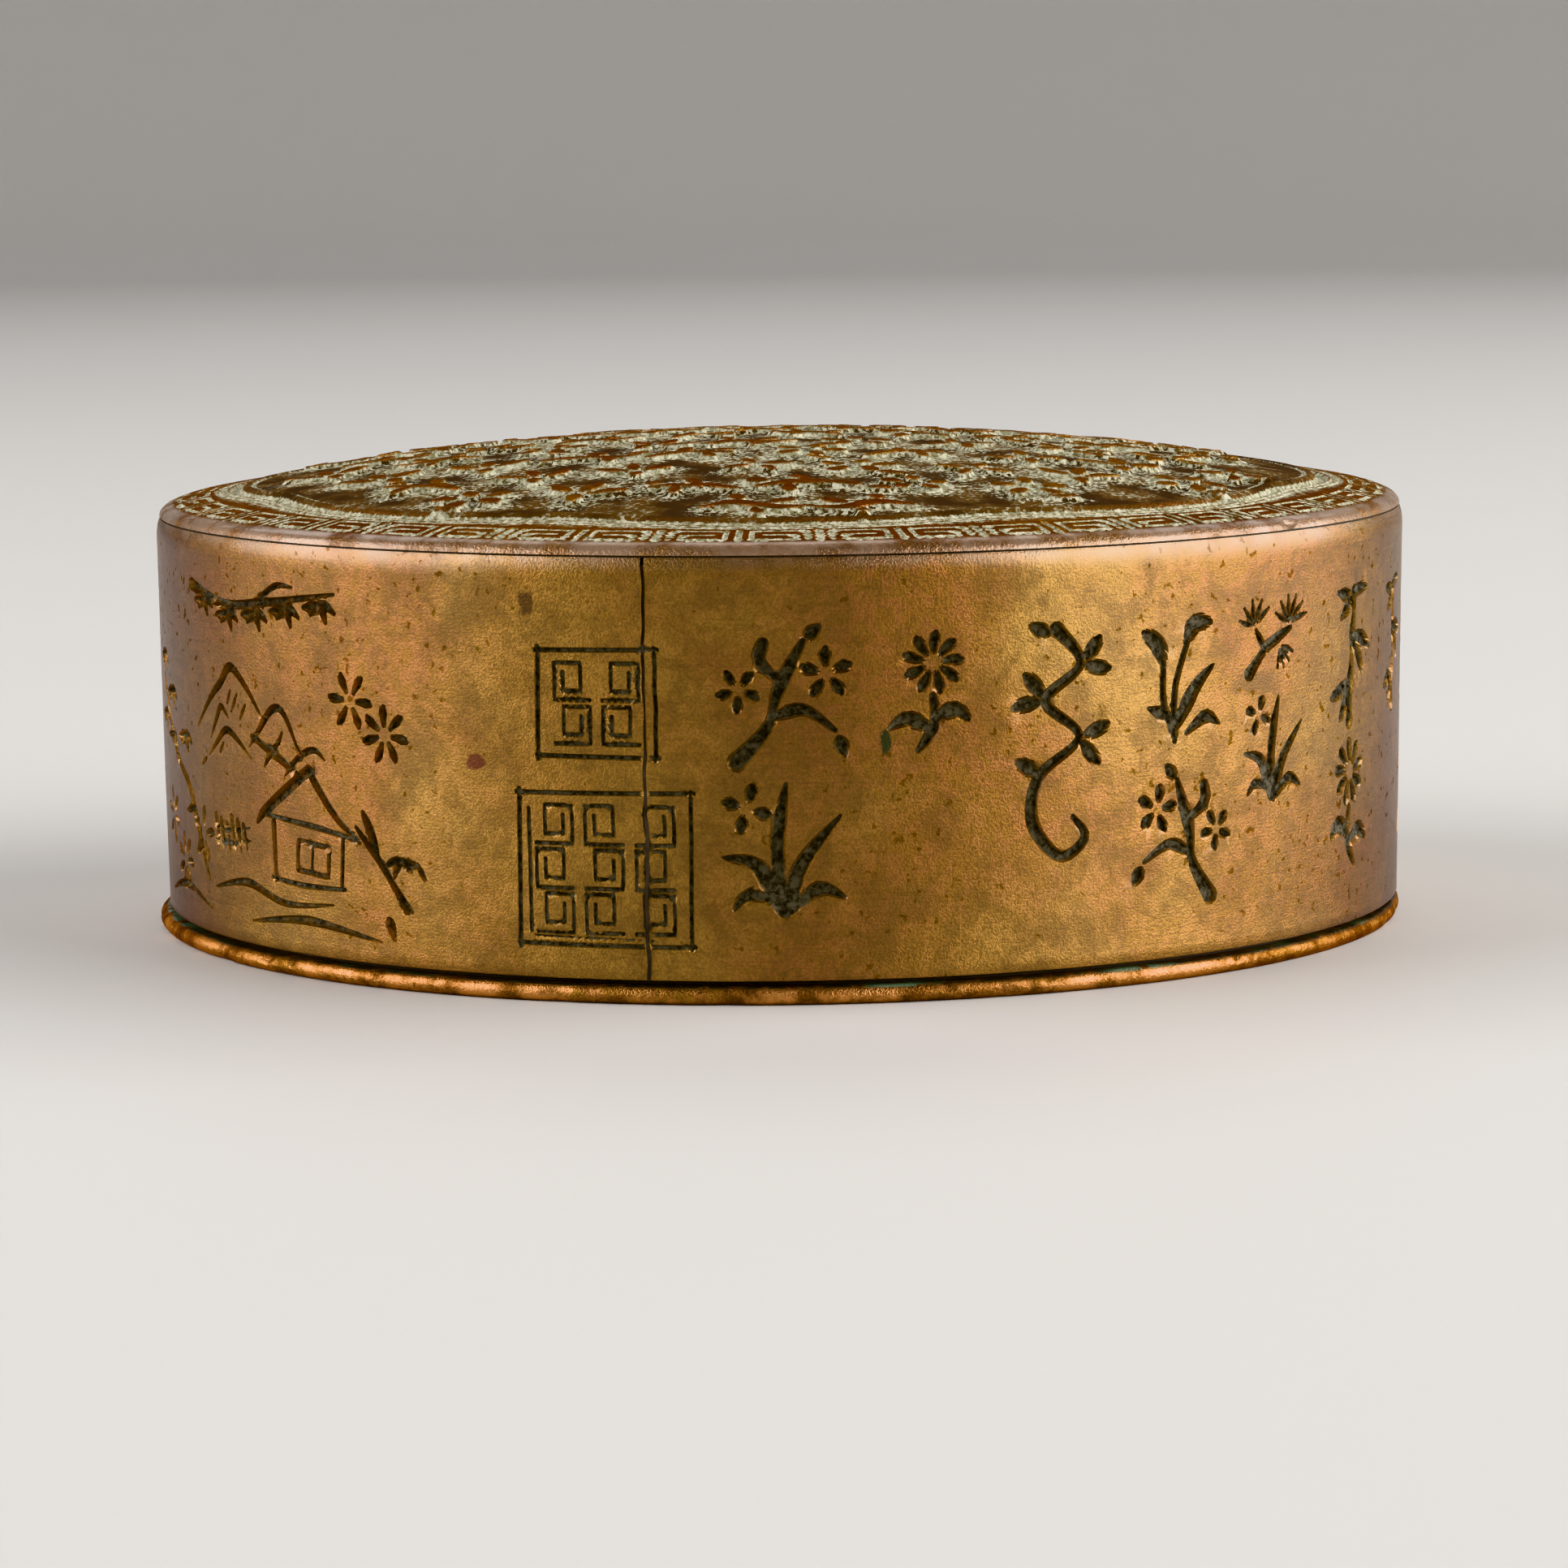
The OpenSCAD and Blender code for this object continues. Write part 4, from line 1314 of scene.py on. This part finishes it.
def rubbed_rim_and_painted_highlight(made, colour, rough, zone, least, most):
    """The rounded rim, rubbed paler and smoother in patches, its pale colour partly a painted highlight: how
    much, the colour and the roughness.
    """
    patches = made.between(made.noise(420, 4, 0.6), 0.3, 0.62, least, most)
    rim = made.sum(zone, patches, "MULTIPLY")
    # the pale rim colour is partly rubbed wear and partly a painted highlight along the rounded edge
    return rim, made.mix(rim, colour, rgb(166, 142, 122)), made.sum(rough, made.between(rim, 0, 1, 0, -0.1))


ROUND = TURN * WALL_R           # the flat wall starts at its seam, so what is left of it lies a turn on
STAINS = [                      # centre and size on the flat wall in mm, and colour
    ((ROUND - 17.7, 13.3), (0.6, 0.5), rgb(84, 38, 22)),
    ((ROUND - 14.4, 22.4), (0.5, 0.9), rgb(72, 48, 16)),
    ((5.8, 14.8), (0.4, 0.8), rgb(24, 48, 20)),
    ((30, 16.6), (2.4, 0.7), rgb(106, 76, 34)),
    ((88, 9), (1.1, 0.9), rgb(88, 46, 22)),
    ((121, 18), (1.4, 2.0), rgb(84, 56, 24)),
]


def wall_finish():
    made, colour, rough, height = tarnished_copper(
        "engraved_copper", rgb(152, 116, 54), rgb(142, 98, 38), rgb(78, 54, 16), roughness=0.36)
    plan = made.attribute("plan", "Vector")
    round_scratches = made.noise(9, 4, 0.75, made.stretched(plan, 0.12, 9, 1))
    colour = made.mix(made.between(round_scratches, 0.35, 0.65, 0, 0.06), colour, rgb(214, 168, 104))
    rough = made.sum(rough, made.between(round_scratches, 0.3, 0.7, -0.04, 0.04))
    height = made.sum(height, made.between(round_scratches, 0.3, 0.7, -0.15, 0.15))
    for centre, size, stain in STAINS:
        colour = made.mix(made.sum(made.spot("plan", centre, size), 0.9, "MULTIPLY"), colour, stain)
    patchy = made.sum(made.attribute("ink"), made.between(made.noise(1300, 4, 0.7), 0.3, 0.7, -0.2, 0.2))
    filled = made.between(patchy, 0.15, 0.7)
    dirt = made.mix(made.between(made.noise(2400, 3, 0.7), 0.35, 0.65), rgb(24, 22, 16), rgb(92, 88, 74))
    colour = made.mix(filled, colour, dirt)
    zone = made.between(made.upright(), 0.02395, 0.0249)
    # painted highlight: the rim band is painted paler as well as rubbed
    rim, colour, rough = rubbed_rim_and_painted_highlight(made, colour, rough, zone, 0.15, 0.55)
    rough = made.sum(rough, made.between(filled, 0, 1, 0, 0.3))
    dull = made.sum(filled, made.between(rim, 0, 1, 0, 0.6), "MAXIMUM")
    return made.surface(colour, rough, made.bump(height, 0.35, 0.00004), {
        "Metallic": made.between(dull, 0, 1, 1.0, 0.2),
        "Specular Tint": rgb(112, 84, 48),
        "Coat Weight": made.between(made.sum(filled, made.specks, "MAXIMUM"), 0, 0.6, 0.8, 0.05),
        "Coat Roughness": 0.32,
    })


# %% [markdown]
# ### The chased top
#
# The plate is a redder, browner copper than the wall. Its pale dust is thickest in the cuts and at the foot
# of each sprig, and breaks up into grains further out. The ground between is dark, and the rounded rim is
# rubbed as pale as the wall's, its pale colour partly a painted highlight.

# %% Top finish
def top_finish():
    made, colour, rough, height = tarnished_copper(
        "chased_copper", rgb(140, 100, 56), rgb(118, 80, 40), rgb(74, 50, 22), 0.4, 0.4, 0.4)
    raised, near, cut = (made.attribute(key) for key in ("raised", "near", "cut"))
    grain = made.between(made.noise(3400, 2, 0.6), 0.34, 0.66)
    cloud = made.noise(300, 3, 0.55)
    spread = made.from_axis()
    field = made.between(spread, 0.0335, 0.0318)
    zone = made.between(spread, 0.03685, 0.0373)
    # painted highlight: the rim band of the top is painted paler as well as rubbed
    rim, colour, rough = rubbed_rim_and_painted_highlight(made, colour, rough, zone, 0.25, 0.75)
    ground = made.mix(made.between(cloud, 0.4, 0.62), rgb(58, 38, 12), rgb(96, 70, 34))
    bare = made.sum(field, made.between(raised, 0.85, 0.5), "MULTIPLY")
    colour = made.mix(bare, colour, ground)
    reach = made.sum(near, made.between(cloud, 0.3, 0.7, -0.35, 0.25))
    dust = made.between(made.sum(reach, made.between(grain, 0, 1, -0.5, 0.5)), 0.25, 0.95)
    dust = made.sum(made.sum(dust, field, "MULTIPLY"), made.between(raised, 0.95, 0.6), "MULTIPLY")
    sill = made.between(made.sum(cut, made.between(grain, 0, 1, -0.1, 0.1)), 0.12, 0.4, 0, 0.95)
    dust = made.sum(dust, sill, "MAXIMUM")
    powder = made.between(made.noise(2600, 3, 0.7), 0.35, 0.65)
    pale = made.mix(powder, rgb(124, 122, 90), rgb(212, 210, 186))
    colour = made.mix(dust, colour, pale)
    metal = made.between(made.sum(bare, rim, "MAXIMUM"), 0, 1, 1, 0.4)
    dull = made.sum(made.between(dust, 0, 1, 0, 0.45), made.between(bare, 0, 1, 0, 0.35), "MAXIMUM")
    height = made.sum(height, made.between(grain, 0, 1, 0, 2))
    normal = made.bump(height, made.between(rim, 0, 1, 0.5, 0.12), 0.00005)
    return made.surface(colour, made.sum(rough, dull), normal, {
        "Metallic": made.sum(made.between(dust, 0, 1, 0.95, 0.0), metal, "MULTIPLY"),
        "Specular IOR Level": 0.25,
        "Specular Tint": rgb(170, 132, 96),
        "Coat Weight": made.between(rim, 0, 1, 0, 0.8),
        "Coat Roughness": 0.18,
    })


# %% [markdown]
# ### The other finishes
#
# The foot is the wall's copper with a bright worn edge and, where it meets the wall, painted shade with
# patches of verdigris. Inside, the copper is less handled and darker. Solder is dull lead grey. The slate is
# fine grained and a little shiny. Ink makes the silk black, with a weave that shows only in its gloss.

# %% Foot, inner copper, solder, lac, slate and silk
def foot_finish():
    made, colour, rough, height = tarnished_copper(
        "foot_copper", rgb(138, 96, 58), rgb(112, 74, 38), rgb(68, 44, 22), 0.55, 0.8, 0.36)
    radius = made.from_axis()
    edge = made.between(radius, 0.0376, 0.03815)
    worn = made.sum(edge, made.between(made.noise(420, 4, 0.7), 0.4, 0.62), "MULTIPLY")
    colour = made.mix(worn, colour, rgb(206, 148, 94))
    # painted shade: the top of the foot is darkened where it meets the wall, with verdigris patches in it
    ledge = made.between(made.upright(), 0.00075, 0.00098)
    painted_shade_and_verdigris = made.sum(ledge, made.between(radius, 0.03815, 0.0379), "MULTIPLY")
    painted_shade_and_verdigris = made.sum(painted_shade_and_verdigris, made.between(made.noise(900, 3), 0.3, 0.5), "MULTIPLY")
    verdigris = made.between(made.noise(60, 3, 0.6), 0.5, 0.6)
    colour = made.mix(painted_shade_and_verdigris, colour, made.mix(verdigris, rgb(24, 22, 12), rgb(96, 116, 96)))
    rough = made.sum(rough, made.between(worn, 0, 1, 0.02, -0.08))
    return made.surface(colour, rough, made.bump(height, 0.4, 0.00005), {
        "Metallic": made.between(painted_shade_and_verdigris, 0, 1, 1.0, 0.1),
        "Specular Tint": rgb(186, 140, 96),
    })


def inner_copper(name, light, warm, dark, ringed=0.0):
    """Copper that sees little light and air; ringed adds the fine turning marks of a spun piece."""
    made, colour, rough, height = tarnished_copper(name, light, warm, dark, 0.5, 0.6, 0.38)
    if ringed:
        marks = made.noise(500, 2, 0.5, made.stretched(made.place, 0.02, 0.02, 6))
        colour = made.mix(made.between(marks, 0.35, 0.65, 0, ringed), colour, dark)
        height = made.sum(height, marks)
    return made.surface(colour, rough, made.bump(height, 0.3, 0.00004))


def ink_stained_copper():
    """The pan's copper: ink has crept up its sides and dried in tide lines, and only the lip is clean."""
    made, colour, rough, height = tarnished_copper(
        "ink_stained_copper", rgb(190, 132, 70), rgb(160, 98, 44), rgb(70, 46, 24), 0.6, 1.0, 0.36)
    tide = made.sum(made.upright(), made.between(made.noise(160, 4, 0.6), 0.3, 0.7, -0.0022, 0.0022))
    inked = made.between(tide, 0.0198, 0.0178)
    colour = made.mix(inked, colour, rgb(20, 18, 17))
    rough = made.sum(rough, made.between(inked, 0, 1, 0, 0.1))
    metal = made.between(inked, 0, 1, 1.0, 0.1)
    return made.surface(colour, rough, made.bump(made.sum(height, inked), 0.3, 0.00005), {"Metallic": metal})


def solder_finish():
    made = Finish("lead_solder", 0.6, 0.6)
    blotch = made.noise(700, 4, 0.65)
    colour = made.mix(made.between(blotch, 0.35, 0.65), rgb(46, 40, 32), rgb(78, 70, 60))
    rough = made.between(blotch, 0.3, 0.7, 0.5, 0.72)
    return made.surface(colour, rough, made.bump(blotch, 0.5, 0.00006))


def lac_finish():
    made = Finish("brown_lac", 0.0, 0.35)
    streak = made.noise(240, 4, 0.6, distortion=1.2)
    colour = made.mix(made.between(streak, 0.35, 0.65), rgb(44, 20, 12), rgb(82, 40, 22))
    rough = made.between(streak, 0.3, 0.7, 0.28, 0.45)
    return made.surface(colour, rough, made.bump(streak, 0.3, 0.0001))


def slate_finish():
    made = Finish("fine_slate", 0.0, 0.5)
    layers = made.noise(300, 5, 0.65, made.stretched(made.place, 1, 0.35, 1), 0.6)
    grit = made.noise(4200, 2, 0.6)
    colour = made.mix(made.between(layers, 0.35, 0.68), rgb(38, 38, 42), rgb(62, 60, 62))
    colour = made.mix(made.between(grit, 0.6, 0.72, 0, 0.4), colour, rgb(104, 104, 108))
    rings = made.noise(900, 2, 0.5)
    rough = made.between(made.sum(layers, rings, "MULTIPLY"), 0.15, 0.4, 0.4, 0.58)
    return made.surface(colour, rough, made.bump(grit, 0.25, 0.00003))


def silk_finish():
    made = Finish("inked_silk", 0.0, 0.5)
    thread = {"Vector": made.place, "Scale": 900.0, "Distortion": 0.6, "Detail": 1.0, "Detail Scale": 0.4}
    threads = [
        made.add("ShaderNodeTexWave", thread, wave_type="BANDS", bands_direction=way).outputs["Fac"]
        for way in ("X", "Y")
    ]
    weave = made.sum(*threads, "MAXIMUM")
    soaked = made.between(made.noise(120, 4, 0.6), 0.35, 0.65)
    colour = made.mix(soaked, rgb(12, 11, 12), rgb(34, 31, 32))
    colour = made.mix(made.between(weave, 0.5, 1.0, 0, 0.35), colour, rgb(58, 54, 54))
    rough = made.between(soaked, 0, 1, 0.3, 0.62)
    return made.surface(colour, rough, made.bump(weave, 0.4, 0.00006), {
        "Sheen Weight": 0.3, "Sheen Roughness": 0.4,
    })


FINISHES = {
    "wall_copper": wall_finish(),
    "relief_copper": top_finish(),
    "foot_copper": foot_finish(),
    "plain_copper": inner_copper(
        "plain_copper", rgb(204, 142, 76), rgb(178, 108, 48), rgb(104, 66, 32), 0.35),
    "pan_copper": ink_stained_copper(),
    "solder": solder_finish(),
    "lac": lac_finish(),
    "slate": slate_finish(),
    "inked_silk": silk_finish(),
}
print("finishes:", ", ".join(FINISHES))

# %% [markdown]
# ## Give each piece its finish
#
# New pieces get the finish of their slot. Two CAD pieces already look right, the solder round the base and
# the hidden lac. They keep their shape and get a finish in the same way.

# %% Assign the finishes
def dress(piece, slot):
    """One finish over the whole of a piece."""
    piece.data.materials.clear()
    piece.data.materials.append(FINISHES[slot])


for piece, slot in PIECES:
    dress(piece, slot)
for node, slot in (("base_joint_solder", "solder"), ("slate_cement", "lac")):
    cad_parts[node].material_slots[0].material = FINISHES[slot]
